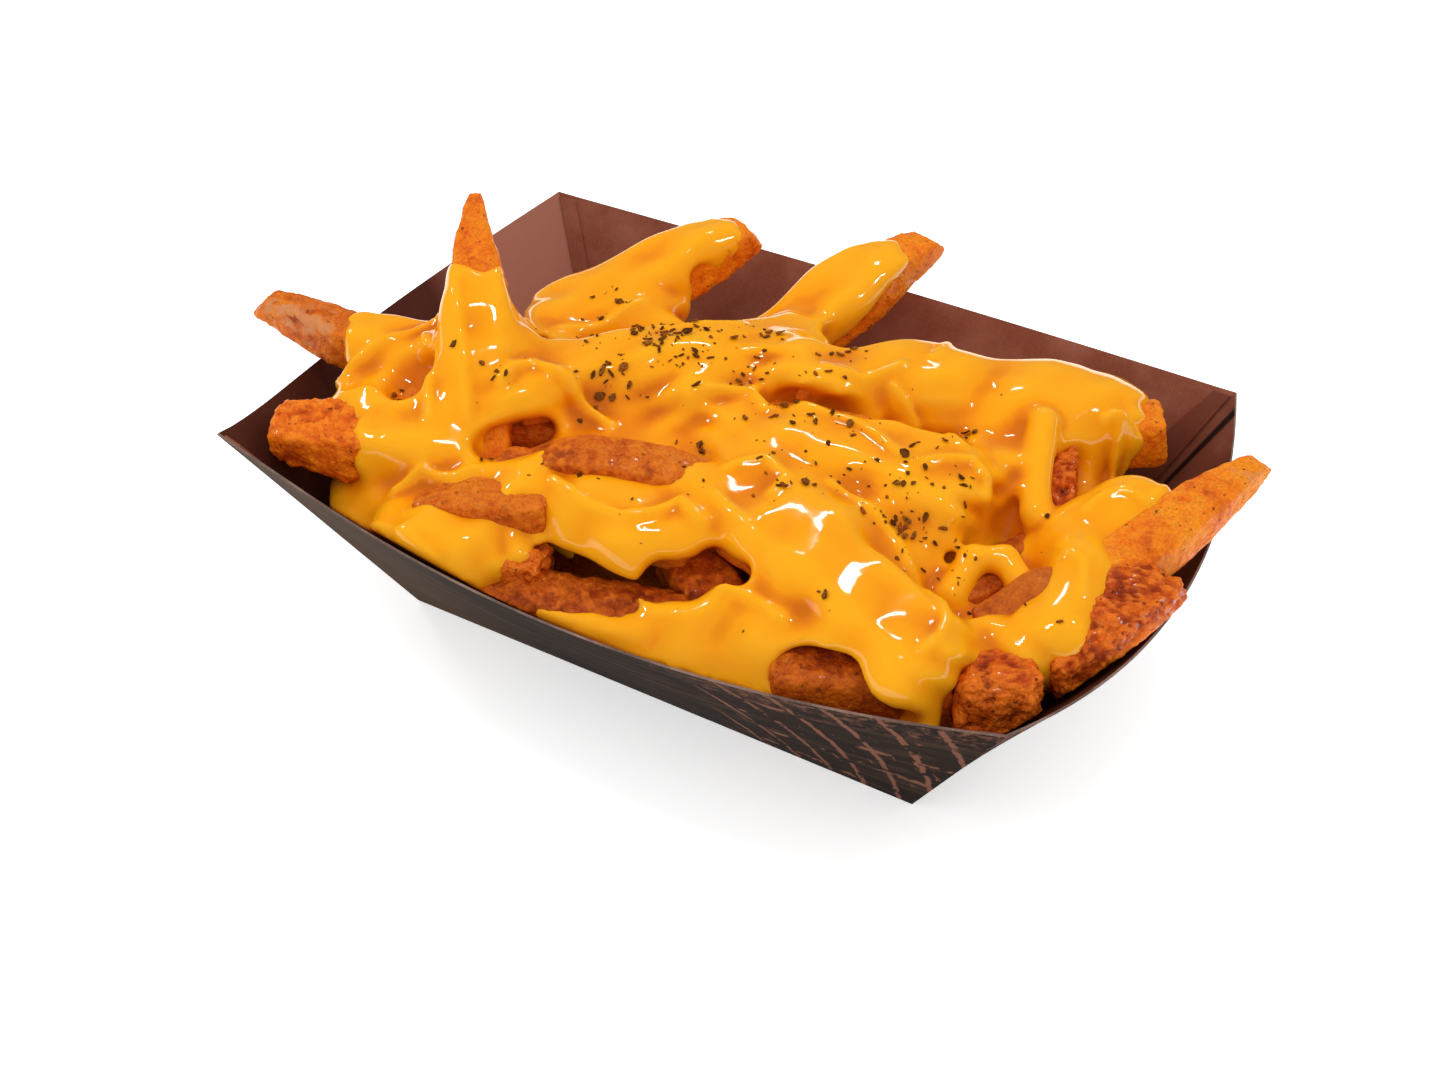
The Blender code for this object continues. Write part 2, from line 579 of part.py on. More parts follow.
def drop_of(top, bottom, top_radius, bottom_radius):
    """Distance to a drip: a rounded run between two points, as thick as is told at each."""
    a, b = Vector(top) * MM, Vector(bottom) * MM
    run = b - a

    def distance(x, y, z):
        dx, dy, dz = x - a.x, y - a.y, z - a.z
        share = np.clip((dx * run.x + dy * run.y + dz * run.z) / run.length_squared, 0, 1)
        gap = (dx - share * run.x) ** 2 + (dy - share * run.y) ** 2 + (dz - share * run.z) ** 2
        return np.sqrt(gap) - (top_radius + (bottom_radius - top_radius) * share) * MM

    return distance


def plain_bar(middle, run):
    """Distance to a plain low fry: a bar of the usual section along a run, given in mm round its middle."""
    centre, half = Vector(middle) * MM, Vector(run) * MM / 2
    along = half.normalized()
    across = Vector((0, 0, 1)).cross(along).normalized()
    up = along.cross(across)
    sizes = (half.length, LOW_FRY[0] * MM / 2, LOW_FRY[1] * MM / 2)

    def distance(x, y, z):
        dx, dy, dz = x - centre.x, y - centre.y, z - centre.z
        offsets = [np.abs(dx * axis.x + dy * axis.y + dz * axis.z) for axis in (along, across, up)]
        over = [offset - size for offset, size in zip(offsets, sizes)]
        outside = np.sqrt(sum(np.maximum(q, 0) ** 2 for q in over))
        return outside + np.minimum(np.maximum(np.maximum(over[0], over[1]), over[2]), 0)

    return distance


def box_round(points, margin):
    """The box that holds some points given in mm, with a margin given in mm."""
    return (np.min(points, axis=0) - margin) * MM, (np.max(points, axis=0) + margin) * MM


def add_mounds(field):
    """The mounds that the sauce lies on, each drawn straight down below its middle."""
    for centre, sizes in MOUNDS:
        low, high = box_round([centre], sizes)
        low[2] = 0
        field.add(low, high, egg(centre, sizes, floor_down=True), MOUND_BLEND)


def clip_to_tray(field, gap, floor):
    """Cuts the field off where it would reach the tray's walls, or below a floor."""
    x, y, z = field.grid()
    field.values = np.maximum(field.values, (gap - wall_room(x, y, z)).astype(np.float32))
    field.values = np.maximum(field.values, (floor - z).astype(np.float32))


def add_low_fries(field):
    """The fries under the heap that show in its pockets, laid in two layers by a seeded rule."""
    rng = random.Random("lower layer")
    for height, half_x, half_y, count in LAYERS:
        for number in range(count):
            across = half_y * (2 * ((number + 0.5) / count) - 1) + rng.uniform(-LOW_FRY_SHIFT, LOW_FRY_SHIFT)
            along = rng.uniform(-LOW_FRY_SLIDE, LOW_FRY_SLIDE) * half_x
            length = rng.uniform(*LOW_FRY_LENGTHS)
            turn = rng.uniform(-LOW_FRY_TURN, LOW_FRY_TURN)
            slope = rng.uniform(-LOW_FRY_SLOPE, LOW_FRY_SLOPE)
            run = Vector((math.cos(turn), math.sin(turn), slope)) * length
            middle = Vector((along, across, height + rng.uniform(-LOW_FRY_LIFT, LOW_FRY_LIFT)))
            around = box_round([middle - run / 2, middle + run / 2], LOW_FRY[0])
            field.add(*around, plain_bar(middle, run), CORE_BLEND)


def fry_heap(collection, guides):
    """A smaller core with the fries that show fused on, and the same grown by the clearance as a cutter."""
    field = Field(*CORE_REGION, CORE_VOXEL)
    add_mounds(field)
    field.values = np.minimum(field.values, FAR_OUTSIDE - BED_DEPTH) + np.float32(BED_DEPTH)
    add_low_fries(field)
    clip_to_tray(field, CORE_GAP, PAPER + CLEARANCE)
    core = field.surface("fries", 0.0, CORE_TRIANGLES)
    grown_core = new_object("core_clearance", core.data.copy(), guides)
    swell = grown_core.modifiers.new("grow", "DISPLACE")
    swell.strength = CORE_CLEARANCE
    swell.mid_level = 0
    applied(grown_core)
    pieces = new_collection("fry_pieces")
    for fry in FRIES:
        fry_bar(fry, 0.0, pieces)
    fused(core, pieces, "MANIFOLD")
    largest_body(core)
    for fry in FRIES:
        fry_bar(fry, CLEARANCE, pieces)
    fused(grown_core, pieces, "MANIFOLD")
    bpy.data.collections.remove(pieces)
    collection.objects.link(core)
    bpy.context.scene.collection.objects.unlink(core)
    return core, grown_core


def sauce_blanket(collection, cutter):
    """The poured sauce: a bed, coats on the covered fries and thick places, less dents, gaps and fries."""
    field = Field(*SAUCE_REGION, SAUCE_VOXEL)
    add_mounds(field)
    underside = -(field.values + BED_DEPTH - CLEARANCE)
    field.values = np.maximum(field.values, underside)
    clip_to_tray(field, WALL_GAP, SAUCE_LOWEST)
    for fry in FRIES:
        if fry.coat[1] > fry.coat[0]:
            field.add(*box_round([fry.inner, fry.outer], fry.wide), coat_of(fry), WEB)
    for top, bottom, top_radius, bottom_radius in SWELLS:
        around = box_round([top, bottom], max(top_radius, bottom_radius))
        field.add(*around, drop_of(top, bottom, top_radius, bottom_radius), WEB)
    for centre, sizes in HOLLOWS:
        field.remove(*box_round([centre], sizes), egg(centre, sizes), HOLLOW_EDGE)
    for deep, top, deep_radius, top_radius in GAPS:
        around = box_round([deep, top], max(deep_radius, top_radius))
        field.remove(*around, drop_of(deep, top, deep_radius, top_radius), HOLLOW_EDGE)
    clip_to_tray(field, WALL_GAP, SAUCE_LOWEST)
    sauce = field.surface("cheese_sauce", 0.0, SAUCE_TRIANGLES)
    largest_body(sauce)
    cut_by(sauce, cutter)
    largest_body(sauce)
    collection.objects.link(sauce)
    bpy.context.scene.collection.objects.unlink(sauce)
    return sauce


def flake_spot(rng):
    """A place above the heap, drawn from the scatter's clusters."""
    middle, spread, _ = rng.choices(SCATTER, weights=[cluster[2] for cluster in SCATTER])[0]
    x, y = (rng.gauss(centre, width) * MM for centre, width in zip(middle, spread))
    return Vector((x, y, ABOVE_ALL))


def flake(rng, length, spot, normal):
    """One flake: a skewed chip that lies on the sauce at a spot, turned at random."""
    width = length * rng.uniform(*FLAKE_WIDTHS)
    height = rng.uniform(*FLAKE_HEIGHTS)
    bm = bmesh.new()
    bmesh.ops.create_cube(bm, size=1)
    for vert in bm.verts:
        skew = length * rng.uniform(-FLAKE_SKEW, FLAKE_SKEW)
        vert.co = Vector((vert.co.x * length + skew, vert.co.y * width, vert.co.z * height))
    turn = Matrix.Rotation(rng.uniform(0, math.tau), 4, "Z")
    lay_flat = normal.to_track_quat("Z", "Y").to_matrix().to_4x4()
    move = Matrix.Translation(spot + normal * (height / 2 - FLAKE_SUNK))
    bmesh.ops.transform(bm, matrix=move @ lay_flat @ turn, verts=bm.verts)
    return bm


def herb_flakes(sauce, fries):
    """Dried herb flakes, longest first, each pressed a little into the sauce and clear of the fries."""
    rng = random.Random("herbs")
    graph = bpy.context.evaluated_depsgraph_get()
    top = BVHTree.FromObject(sauce, graph)
    bare = BVHTree.FromObject(fries, graph)
    pieces = new_collection("flake_pieces")
    laid = []
    lengths = sorted((rng.uniform(FLAKE_SHORTEST, FLAKE_LONGEST) for _ in range(FLAKES)), reverse=True)
    for length in lengths:
        for _ in range(FLAKE_TRIES):
            spot, normal, _, _ = top.ray_cast(flake_spot(rng), Vector((0, 0, -1)))
            if spot is None or normal.z < FLATTEST_FOR_FLAKES or bare.find_nearest(spot)[3] < length:
                continue
            if any((spot - other).length < length + FLAKE_SPACING for other in laid):
                continue
            laid.append(spot)
            name = f"flake_{len(laid)}"
            new_object(name, mesh_of(flake(rng, length, spot, normal), name), pieces)
            break
    fused(sauce, pieces, "MANIFOLD")
    largest_body(sauce)
    bpy.data.collections.remove(pieces)


def build():
    clear_scene()
    tray_of_fries = new_collection("cheese_fries")
    guides = new_collection("guides")
    guides.hide_render = True
    tray = tray_sheet(tray_of_fries)
    for side_x in (-1, 1):
        for side_y in (-1, 1):
            corner_flap(side_x, side_y, FLAP_REACH if side_x > 0 else FLAP_TOP * NARROW_FLAP, guides)
    fused(tray, guides)
    tray.data.materials.append(plain_material("dark_paper", (0.045, 0.035, 0.03), 0.7))
    fries, cutter = fry_heap(tray_of_fries, guides)
    fries.data.materials.append(plain_material("fried_crust", (0.55, 0.16, 0.03), 0.6))
    sauce = sauce_blanket(tray_of_fries, cutter)
    herb_flakes(sauce, fries)
    sauce.data.materials.append(plain_material("melted_cheese", (0.95, 0.42, 0.01), 0.15))
    sauce.data.shade_smooth()
    bpy.data.objects.remove(cutter, do_unlink=True)


build()
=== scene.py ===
import math
import random
from collections import namedtuple

import bpy
import numpy as np
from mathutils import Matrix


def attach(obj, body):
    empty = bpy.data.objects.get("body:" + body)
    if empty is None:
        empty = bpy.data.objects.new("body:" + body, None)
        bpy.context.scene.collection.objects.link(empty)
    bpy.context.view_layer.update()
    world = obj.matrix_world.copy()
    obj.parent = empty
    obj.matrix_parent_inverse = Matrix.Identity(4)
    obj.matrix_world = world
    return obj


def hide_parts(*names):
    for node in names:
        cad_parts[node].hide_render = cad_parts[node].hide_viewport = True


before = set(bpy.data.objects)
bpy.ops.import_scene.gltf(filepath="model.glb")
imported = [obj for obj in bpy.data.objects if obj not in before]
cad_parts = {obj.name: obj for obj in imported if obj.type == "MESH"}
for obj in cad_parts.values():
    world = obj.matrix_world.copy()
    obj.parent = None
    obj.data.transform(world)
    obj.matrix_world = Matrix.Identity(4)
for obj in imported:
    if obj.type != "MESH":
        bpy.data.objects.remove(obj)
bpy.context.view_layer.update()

import openvdb
from mathutils import Matrix, Vector
from mathutils.bvhtree import BVHTree

MM = 0.001

# Tray: a flat floor and four walls that lean out, bow out and dip between the corners
FLOOR_HALF_LENGTH = 64.3 * MM
FLOOR_HALF_WIDTH = 39.5 * MM
RIM_HALF_LENGTH = 90.5 * MM
RIM_HALF_WIDTH = 62.3 * MM
CORNER_HEIGHT = 52.1 * MM
LONG_WALL_BOW = 10.7 * MM
END_WALL_BOW = 11.8 * MM
LONG_WALL_DIP = 6.2 * MM
END_WALL_DIP = 7.9 * MM
FRONT_LEFT_FLARE = 3.0 * MM
FRONT_FLARE_SHARE = 0.4
FLARE_NARROWNESS = 6
PAPER = 0.5 * MM
PAPER_CUTS = 27
ON_WALL = 0.999
FOLD_ANGLE = math.radians(25)

# The sheet's outlay in mm: the long walls lie at 0, the end walls beside them and the floor below
END_WALLS_ACROSS = 300
FLOOR_BELOW = 200

# Corner flaps: shares of the wall's length and height
FLAP_CUTS = 5
FLAP_STEP = 0.6 * MM
FLAP_CORNER = 0.993
FLAP_TOP = 0.045
FLAP_REACH = 0.17
FLAP_FOOT = 0.08
FLAP_HEAD = 0.985
NARROW_FLAP = 1.6
FLAP_ROUNDING = 0.12 * MM
FLAP_ANGLE = math.radians(30)

# How far the food keeps from the tray's walls, and how a fry is moved there: in how many rounds, and how much
# of each move it rises
WALL_GAP = 1.0 * MM
HOLD_OFF_ROUNDS = 30
HOLD_OFF_LIFT = 0.5

# Fries: rings along each, chamfer and inset as shares of the thinner side, how fast the ends narrow, how much
# each ring wobbles sideways in mm, in size and in degrees, and how finely each is rounded off
RING_SPACING = 6.5 * MM
FEWEST_RINGS = 4
CHAMFER = 0.13
END_INSET = 0.16
END_NARROWING = 3
POINTED = 0.6
POINTED_NARROWING = 1.5
SIDE_WOBBLE = 0.3
SIZE_WOBBLE = 0.04
TWIST = 3
BARE_LEVELS = 3
COATED_LEVELS = 2

# Sauce: its coat on a fry, thinner and wavy at a free edge
COAT = 2.3 * MM
COAT_SIDE = 1.5 * MM
COAT_ROUNDING = 5.0 * MM
COAT_ROUNDEST = 0.85
EDGE_WOBBLE = 0.9 * MM
EDGE_WAVES = ((2.4 * MM, 1.0), (1.3 * MM, 0.7))
THICKNESS_WAVES = ((7 * MM, 0.10), (3.6 * MM, 0.06))
EDGE_THINNING = 0.4
FREE_EDGE = 9 * MM
COAT_HANGS_TO = -0.15
COAT_THINNING = 0.8

# How the sauce fills creases, its bed on the mounds, its edges, ridges and waves
WEB = 10.5 * MM
STRAND_WEB = 3.0 * MM
BED_DEPTH = 4.5 * MM
MOUND_BLEND = 6.0 * MM
HOLLOW_EDGE = 3.0 * MM
RIDGE_WIDTH = 1.15 * MM
RIDGE_LIFT = 1.5
SAUCE_WAVES = (("broad", 17 * MM, 0.35 * MM), ("narrow", 7 * MM, 0.06 * MM))
WAVES_MIXED = 6
WAVE_SPREAD = (0.6, 1.4)

# The grid that the sauce is worked out on, and what is left of its surface
SAUCE_LOWEST = 35 * MM
SAUCE_VOXEL = 0.78 * MM
SAUCE_REGION = ((-118 * MM, -80 * MM, 32 * MM), (105 * MM, 86 * MM, 92 * MM))
FAR_OUTSIDE = 20 * MM
MOST_TRIANGLES = 190000

# Dips and ridges that a material colours with painted shade and light: rounds of smoothing and contrast, on a
# crust and on the sauce
CRUST_VALLEYS = (5, 1.1)
SAUCE_VALLEYS = (22, 0.9)

# Ends in mm, then width, thickness and upward bow in mm, the size of each end against the middle, the share
# of the length under sauce, the crust, which side and top stay straight where the outer end narrows, and how
# far that end is cut off square in degrees
FRY_VALUES = "name inner outer wide thick bow inner_size outer_size coat look lean cut"
Fry = namedtuple("Fry", FRY_VALUES, defaults=((0, 1), "golden", (0, 0), 5))
FRIES = (
    Fry("standing", (-42, -38, 44), (-72, 5, 84), 13, 11, 2, 0.9, 0.2, (0, 0.69), "orange", (0, 0), 20),
    Fry("over_left_rim", (-56, -14, 46), (-114, -26, 56), 13, 13, 1, 0.9, 0.58,
        (0.1, 0.6), "golden", (-0.9, 0.6), 35),
    Fry("left_corner", (-50, -38, 46), (-88, -51, 47), 17, 12, 1, 0.9, 0.75, (0, 0.5), "rough", (0, 0.4), -15),
    Fry("back_left_tip", (-54, 20, 46), (-30, 56, 61), 14, 12, 1, 0.9, 0.7, (0, 0.92), "orange", (0, 0), 15),
    Fry("over_back_rim", (-13, 26, 40), (7, 79, 58), 16, 12, 2, 0.9, 0.5, (0.1, 0.82), "orange", (0, 0), 30),
    Fry("back_right_block", (40, 26, 46), (80, 47, 47), 14, 14, 0, 0.9, 0.95, (0, 0.84), "orange"),
    Fry("over_right_rim", (82, -26, 44), (105, 33, 57), 12, 11, 1, 0.9, 0.4, (0, 0), "pale", (0, 0), 35),
    Fry("right_rough", (86, -34, 43), (99.5, -4, 50), 15, 13, 1, 0.9, 0.8, (0, 0), "crumbly", (0, 0), 15),
    Fry("long_top", (2, -3, 51), (58, -5, 51), 19, 12, 2, 0.9, 0.95),
    Fry("bare_strip", (-35, -41, 52), (15, -28, 53), 12, 10, 3, 0.6, 0.95, (0, 0), "golden", (0, 0), 10),
    Fry("front_ridge", (8, -26, 51), (71, -51, 49), 18, 12, 2, 0.9, 0.8),
    Fry("front_round", (42, -61, 41), (73, -45, 40), 15, 16, 0, 0.85, 0.85, (0, 0), "dark"),
    Fry("end_facing", (76, -34, 42), (84, -50, 43), 17, 15, 0, 0.9, 0.9, (0, 0.3), "crumbly"),
    Fry("bare_wedge", (72, -31, 44.5), (89, -11, 51.5), 12, 11, 1, 0.8, 0.35, (0, 0), "smooth"),
    Fry("front_drape", (-26, -41, 48), (12, -39, 47), 14, 11, 1, 0.9, 0.8),
    Fry("bare_patch", (-17, -48, 51), (-46, -57, 47.5), 12, 10, 0, 0.9, 0.4, (0, 0), "golden", (0, 0), 15),
    Fry("crumbly_end", (-14, -56, 41), (-40, -60, 43), 12, 11, 0, 0.9, 0.7, (0.5, 1), "crumbly", (0, 0), 10),
    Fry("front_low", (-24, -63, 36), (20, -53, 38), 13, 12, 0, 0.9, 0.9, (0, 0), "dark"),
    Fry("back_lump_left", (-44, -22, 54), (-12, 10, 54), 15, 12, 2, 0.9, 0.8),
    Fry("back_lump_mid", (-14, -8, 54), (0, 32, 51), 14, 12, 2, 0.9, 0.8),
    Fry("back_lump_right", (8, 8, 56), (36, 31, 51), 14, 12, 1, 0.85, 0.8),
    Fry("back_left_edge", (-62, 12, 47), (-34, 26, 48), 13, 11, 2, 0.8, 0.9),
    Fry("left_cross", (-46, -24, 50), (-54, 8, 48), 13, 11, 1, 0.9, 0.8),
    Fry("back_right_long", (36, 26, 50), (70, 50, 45), 14, 12, 1, 0.9, 0.8),
    Fry("back_right_cross", (56, 8, 46), (61, 42, 48), 13, 12, 1, 0.9, 0.8),
    Fry("stub", (71, 7, 43), (64, 25, 51), 9, 8, 0, 0.9, 0.8, (0, 0), "crumbly"),
    Fry("left_front_strand", (-82, -36, 44), (-54, -25, 48), 12, 11, 1, 0.8, 0.9),
    Fry("hole_stub", (-28, -17, 48), (-47, -26, 45), 11, 10, 0, 0.8, 0.8, (0, 0), "dark"),
    Fry("under_ridge", (2, -34, 41), (30, -50, 38), 13, 12, 0, 0.9, 0.9, (0, 0), "dark"),
    Fry("right_valley", (62, -24, 42), (80, 12, 42), 13, 12, 0, 0.9, 0.9, (0, 0), "dark"),
)

# Layers of fries low in the tray: height, half length and half width in mm, and how many fries
LAYERS = ((9, 56, 32, 15), (20, 66, 42, 20))

# Those fries' width, thickness and bow in mm and the size of each end, then how they vary: length in mm, turn
# and slope, and how far they stray along as a share of the half length, and across and upwards in mm
LOW_FRY = (12, 11, 0, 0.9, 0.85)
LOW_LENGTHS = (55, 80)
LOW_TURN = 0.35
LOW_SLOPE = 0.05
STRAY_ALONG = 0.55
STRAY_ACROSS = 3
STRAY_UP = 2

# Mounds under the sauce: centre and half sizes in mm
MOUNDS = (
    ((0, -16, 24), (80, 45, 32)),
    ((-52, -38, 28), (30, 27, 19)),
    ((24, -50, 28), (46, 24, 16)),
    ((68, -6, 28), (25, 42, 19)),
    ((-24, 14, 28), (50, 24, 23)),
    ((44, 24, 28), (38, 27, 22)),
)

# Dents in the sauce: centre and half sizes in mm
HOLLOWS = (
    ((-4, -55, 41), (20, 5, 6)),
    ((55, -58, 43), (14, 7, 8)),
    ((64, -5, 49), (3.5, 8, 6)),
    ((84, -30, 47), (6, 5, 4)),
    ((-66, -31, 58), (7, 7, 6)),
    ((70, 18, 50), (5, 8, 5)),
    ((10, 0, 60), (5, 2.4, 4.5)),
    ((19, 2, 59), (6, 2.8, 5)),
    ((28, 5, 58), (5, 2.8, 5)),
    ((13, 3, 57), (6, 3, 3.5)),
    ((22, 5, 56.5), (6, 3, 3.5)),
)

# Gaps in the sauce where a fry or the dark shows: deep end and top in mm, and the radius at each
GAPS = (
    ((-46, -31, 46), (-34, -46, 60), 2.4, 3.0),
    ((-44, -28, 46), (-32, -42, 60), 3.0, 3.8),
    ((-41, -24, 46), (-30, -38, 60), 2.8, 3.6),
    ((-38, -21, 47), (-28, -34, 59), 2.2, 2.8),
    ((-71, 8, 50), (-61, -4, 60), 2.2, 2.8),
    ((-56, 4, 48), (-45, -11, 60), 1.8, 3.2),
    ((15, -37, 42), (22, -49, 54), 3.2, 3.6),
    ((21, -38, 42), (27, -48, 52), 2.6, 3.0),
    ((-18, -51, 42), (-4, -48, 41.5), 3.6, 3.8),
    ((-4, -48, 42), (6, -46, 41.5), 3.2, 3.8),
    ((-4, -54, 41), (8, -51, 41.5), 3.4, 3.8),
    ((8, -45, 41), (15, -56, 52), 3.6, 4.2),
    ((13, -44, 42), (20, -54, 53), 3.6, 4.0),
    ((13, -41, 42), (18, -50, 48), 2.6, 2.6),
    ((58, -17, 46), (64, -11, 46), 2.6, 2.6),
    ((57, -58, 46), (69, -61, 44), 3.2, 3.6),
    ((-95, -29, 47), (-83, -22, 48), 1.4, 1.8),
    ((-83, -22, 48), (-74, -11, 50), 1.8, 1.8),
    ((-36, 43, 51), (-33, 38, 57), 2.4, 2.6),
    ((4, 50, 49), (13, 74, 57), 3.0, 4.6),
    ((67, -16, 45), (70, -24, 52), 2.4, 2.6),
)

# Thick places and drips in the sauce: two ends in mm, and the radius at each
SWELLS = (
    ((-61, -11, 62), (-50, -25, 49), 7.0, 11.0),
    ((79, 0, 48), (84, 11, 50), 6.5, 8.0),
    ((85, -12, 50), (86, -27, 47.5), 6.5, 7.0),
    ((-9, -46, 48), (0, -46, 48), 5.5, 5.5),
    ((4, -46, 48), (12, -41, 49), 5.0, 3.5),
    ((-48, -61, 41), (-29, -66, 39), 4.5, 3.4),
    ((18, -53, 38), (50, -58, 38), 8.0, 7.0),
    ((-43, -62, 41), (-20, -56, 41), 3.5, 3.0),
    ((88, 6, 51), (92, 12, 52.5), 3.5, 3.0),
    ((-36, -43, 50), (-28, -43, 51), 3.5, 3.5),
    ((27, 23, 54), (33, 28, 54), 6.0, 6.0),
    ((68, -56, 47.5), (69, -58, 41), 5.6, 5.6),
    ((27, -49, 44.5), (50, -54, 43.5), 7.0, 6.6),
    ((16, -17, 47), (48, -24, 45.5), 8.0, 7.5),
)

# Thin strands of sauce that cross a gap or lie on a bare fry: two ends in mm, and the radius at each
STRANDS = (
    ((-8, -65, 40), (3, -64, 40), 1.8, 2.4),
    ((3, -64, 40), (13, -62, 40), 2.4, 3.0),
    ((-34, -56, 46), (-26, -61, 42), 2.0, 2.2),
    ((-29, -55, 48.5), (-22, -61.5, 44), 1.7, 2.1),
    ((-25, -53, 48.5), (-18, -58, 45.5), 1.6, 1.9),
    ((-22, -54, 44), (-20, -55, 42), 1.8, 2.0),
    ((63, -25, 46), (64, -17, 50), 3.0, 2.2),
    ((64, -17, 50), (69, -14, 50), 2.2, 2.2),
    ((69, -14, 50), (75, -18, 48), 2.2, 2.8),
    ((68, 2.5, 50.5), (61, 22.5, 58.5), 2.8, 2.8),
    ((-52, -33, 56), (-46, -39, 51), 1.0, 1.6),
    ((-50, -31, 57), (-43, -38, 51), 0.9, 1.3),
)

# A ring of sauce round a burst bubble: centre in mm, and the radii of the ring and of its bead
RING = ((-10, -58, 42), 2.2, 0.8)

# Low ridges that the sauce keeps where it flowed: height in mm and a line of places in mm, seen from above
RIDGES = (
    (0.7, ((-42, -29), (-42, -25), (-39, -21), (-33, -20), (-23, -21), (-19, -22))),
    (0.6, ((-53, -55), (-48, -51), (-40, -50), (-36, -47))),
    (0.5, ((-79, -39), (-76, -38), (-68, -36))),
    (0.8, ((-18, -45), (-11, -48), (-8, -49), (1, -49), (6, -45), (9, -40), (16, -43))),
    (0.6, ((13, -28), (14, -26), (19, -22), (25, -25), (25, -31))),
    (0.6, ((16, 9), (18, 9), (24, 11), (29, 20))),
    (0.6, ((33, 26), (33, 31), (31, 41))),
    (0.7, ((47, -6), (49, -3), (54, 1), (59, -1), (63, -9))),
    (0.7, ((71, 33), (72, 35), (81, 39), (81, 45))),
    (0.6, ((73, 36), (74, 34), (79, 24), (75, 16))),
    (0.6, ((-6, -12), (-5, -10), (4, 0), (9, -6))),
    (0.6, ((30, 14), (37, 12), (44, 9), (51, 4))),
    (0.7, ((56, -32), (59, -34), (67, -39), (70, -44), (71, -49), (70, -54))),
    (0.6, ((15, -36), (17, -37), (26, -42))),
    (0.6, ((-70, -20), (-62, -30), (-53, -41))),
    (0.5, ((-69, -9), (-64, -15), (-52, -29), (-45, -38))),
    (0.6, ((-92, -40), (-87, -34), (-81, -28), (-77, -22), (-71, -13))),
    (0.5, ((79, 2), (80, 5), (84, 8), (90, 8), (91, 15))),
    (0.5, ((81, -13), (85, -14), (88, -21))),
    (0.5, ((-35, -52), (-28, -52), (-16, -54))),
    (0.5, ((-62, -66), (-51, -65), (-42, -67), (-32, -69))),
    (0.5, ((-31, 7), (-22, 6), (-17, 10), (-10, 17))),
    (0.5, ((-49, 2), (-43, 9), (-37, 20))),
    (0.5, ((16, -3), (27, -1), (35, -3), (43, -7))),
    (0.5, ((33, -20), (43, -22), (51, -25), (60, -31))),
    (0.5, ((7, -59), (17, -53), (31, -53), (41, -55))),
)

# Herb flakes: how many, of how many kinds, and their lengths
FLAKES = 470
FLAKE_KINDS = 12
FLAKE_LONGEST = 3.1 * MM
FLAKE_SHORTEST = 0.5 * MM

# A flake's shape, in its own lengths: thickness, rim and raised middle, how narrow, torn and cupped it may be
FLAKE_THICK = 0.12
FLAKE_RIM = 0.12
FLAKE_RISE = 0.05
FLAKE_WIDTHS = (0.25, 0.75)
FLAKE_TEARS = (0.45, 1.15)
FLAKE_CUPPING = (-0.5, 0.9)

# How a flake lies: tries to find it room, how far from others and how high in its own lengths, how level the
# sauce is there, and its tilt in degrees
FLAKE_TRIES = 60
FLAKE_APART = 0.55
FLAKE_LEVEL = 0.45
FLAKE_LIFT = 0.12
FLAKE_TILT = 14

# Where flakes lie: the share that fall close beside another and how close in mm, and for the rest each
# cluster's middle and spread in mm and its share of them
CLUMPED = 0.5
CLUMP_SPREAD = 2.2
ABOVE_HEAP = 120 * MM
SCATTER = (
    ((-22, 6), (13, 8), 0.34),
    ((4, 8), (14, 10), 0.16),
    ((34, -10), (18, 10), 0.26),
    ((60, -22), (9, 7), 0.06),
    ((-6, -30), (40, 18), 0.18),
)

# Crusts: how far broad unevenness, bumps and grain stand proud in mm, then how toasted, specked, bumpy and
# oily each is, and its pale, brown and toasted colours
Crust = namedtuple("Crust", "broad bumps grain toasting specks bump oily pale brown toasted")
CRUSTS = {
    "golden": Crust(1.0, 1.1, 0.5, 0.52, 0.5, 0.8, 0.7,
                    (0.8, 0.21, 0.01), (0.66, 0.115, 0.005), (0.24, 0.03, 0.003)),
    "orange": Crust(1.1, 0.9, 0.45, 0.4, 0.7, 0.6, 0.35,
                    (0.92, 0.27, 0.006), (0.85, 0.16, 0.004), (0.42, 0.052, 0.003)),
    "rough": Crust(1.5, 1.7, 0.8, 0.5, 0.7, 0.8, 0.5,
                   (0.92, 0.24, 0.008), (0.82, 0.135, 0.004), (0.38, 0.045, 0.003)),
    "pale": Crust(0.9, 0.6, 0.25, 0.45, 0.8, 0.8, 0.4,
                  (0.95, 0.3, 0.01), (0.88, 0.175, 0.005), (0.36, 0.045, 0.004)),
    "dark": Crust(1.3, 1.2, 0.5, 0.55, 0.5, 0.7, 0.5,
                  (0.66, 0.15, 0.008), (0.46, 0.068, 0.004), (0.13, 0.014, 0.002)),
    "smooth": Crust(0.7, 0.35, 0.12, 0.45, 0.5, 0.35, 0.3,
                    (0.64, 0.165, 0.012), (0.48, 0.092, 0.006), (0.2, 0.03, 0.004)),
    "crumbly": Crust(1.8, 2.3, 1.0, 0.5, 0.8, 1.0, 0.9,
                     (0.86, 0.195, 0.012), (0.64, 0.085, 0.005), (0.19, 0.017, 0.002)),
}

# The size of those three kinds of unevenness, and how often each is broken up finer
CRUST_CLOUDS = {"broad": (9 * MM, 2), "bumps": (3 * MM, 2), "grain": (1.1 * MM, 1)}

# Where a fry is broken open and pale: its name, and the middle and radius of the place in mm
BROKEN_PLACES = (
    ("over_left_rim", (-104, -26, 59), 9),
    ("over_left_rim", (-98, -25, 58), 8),
    ("over_right_rim", (104, 30, 59), 9),
)

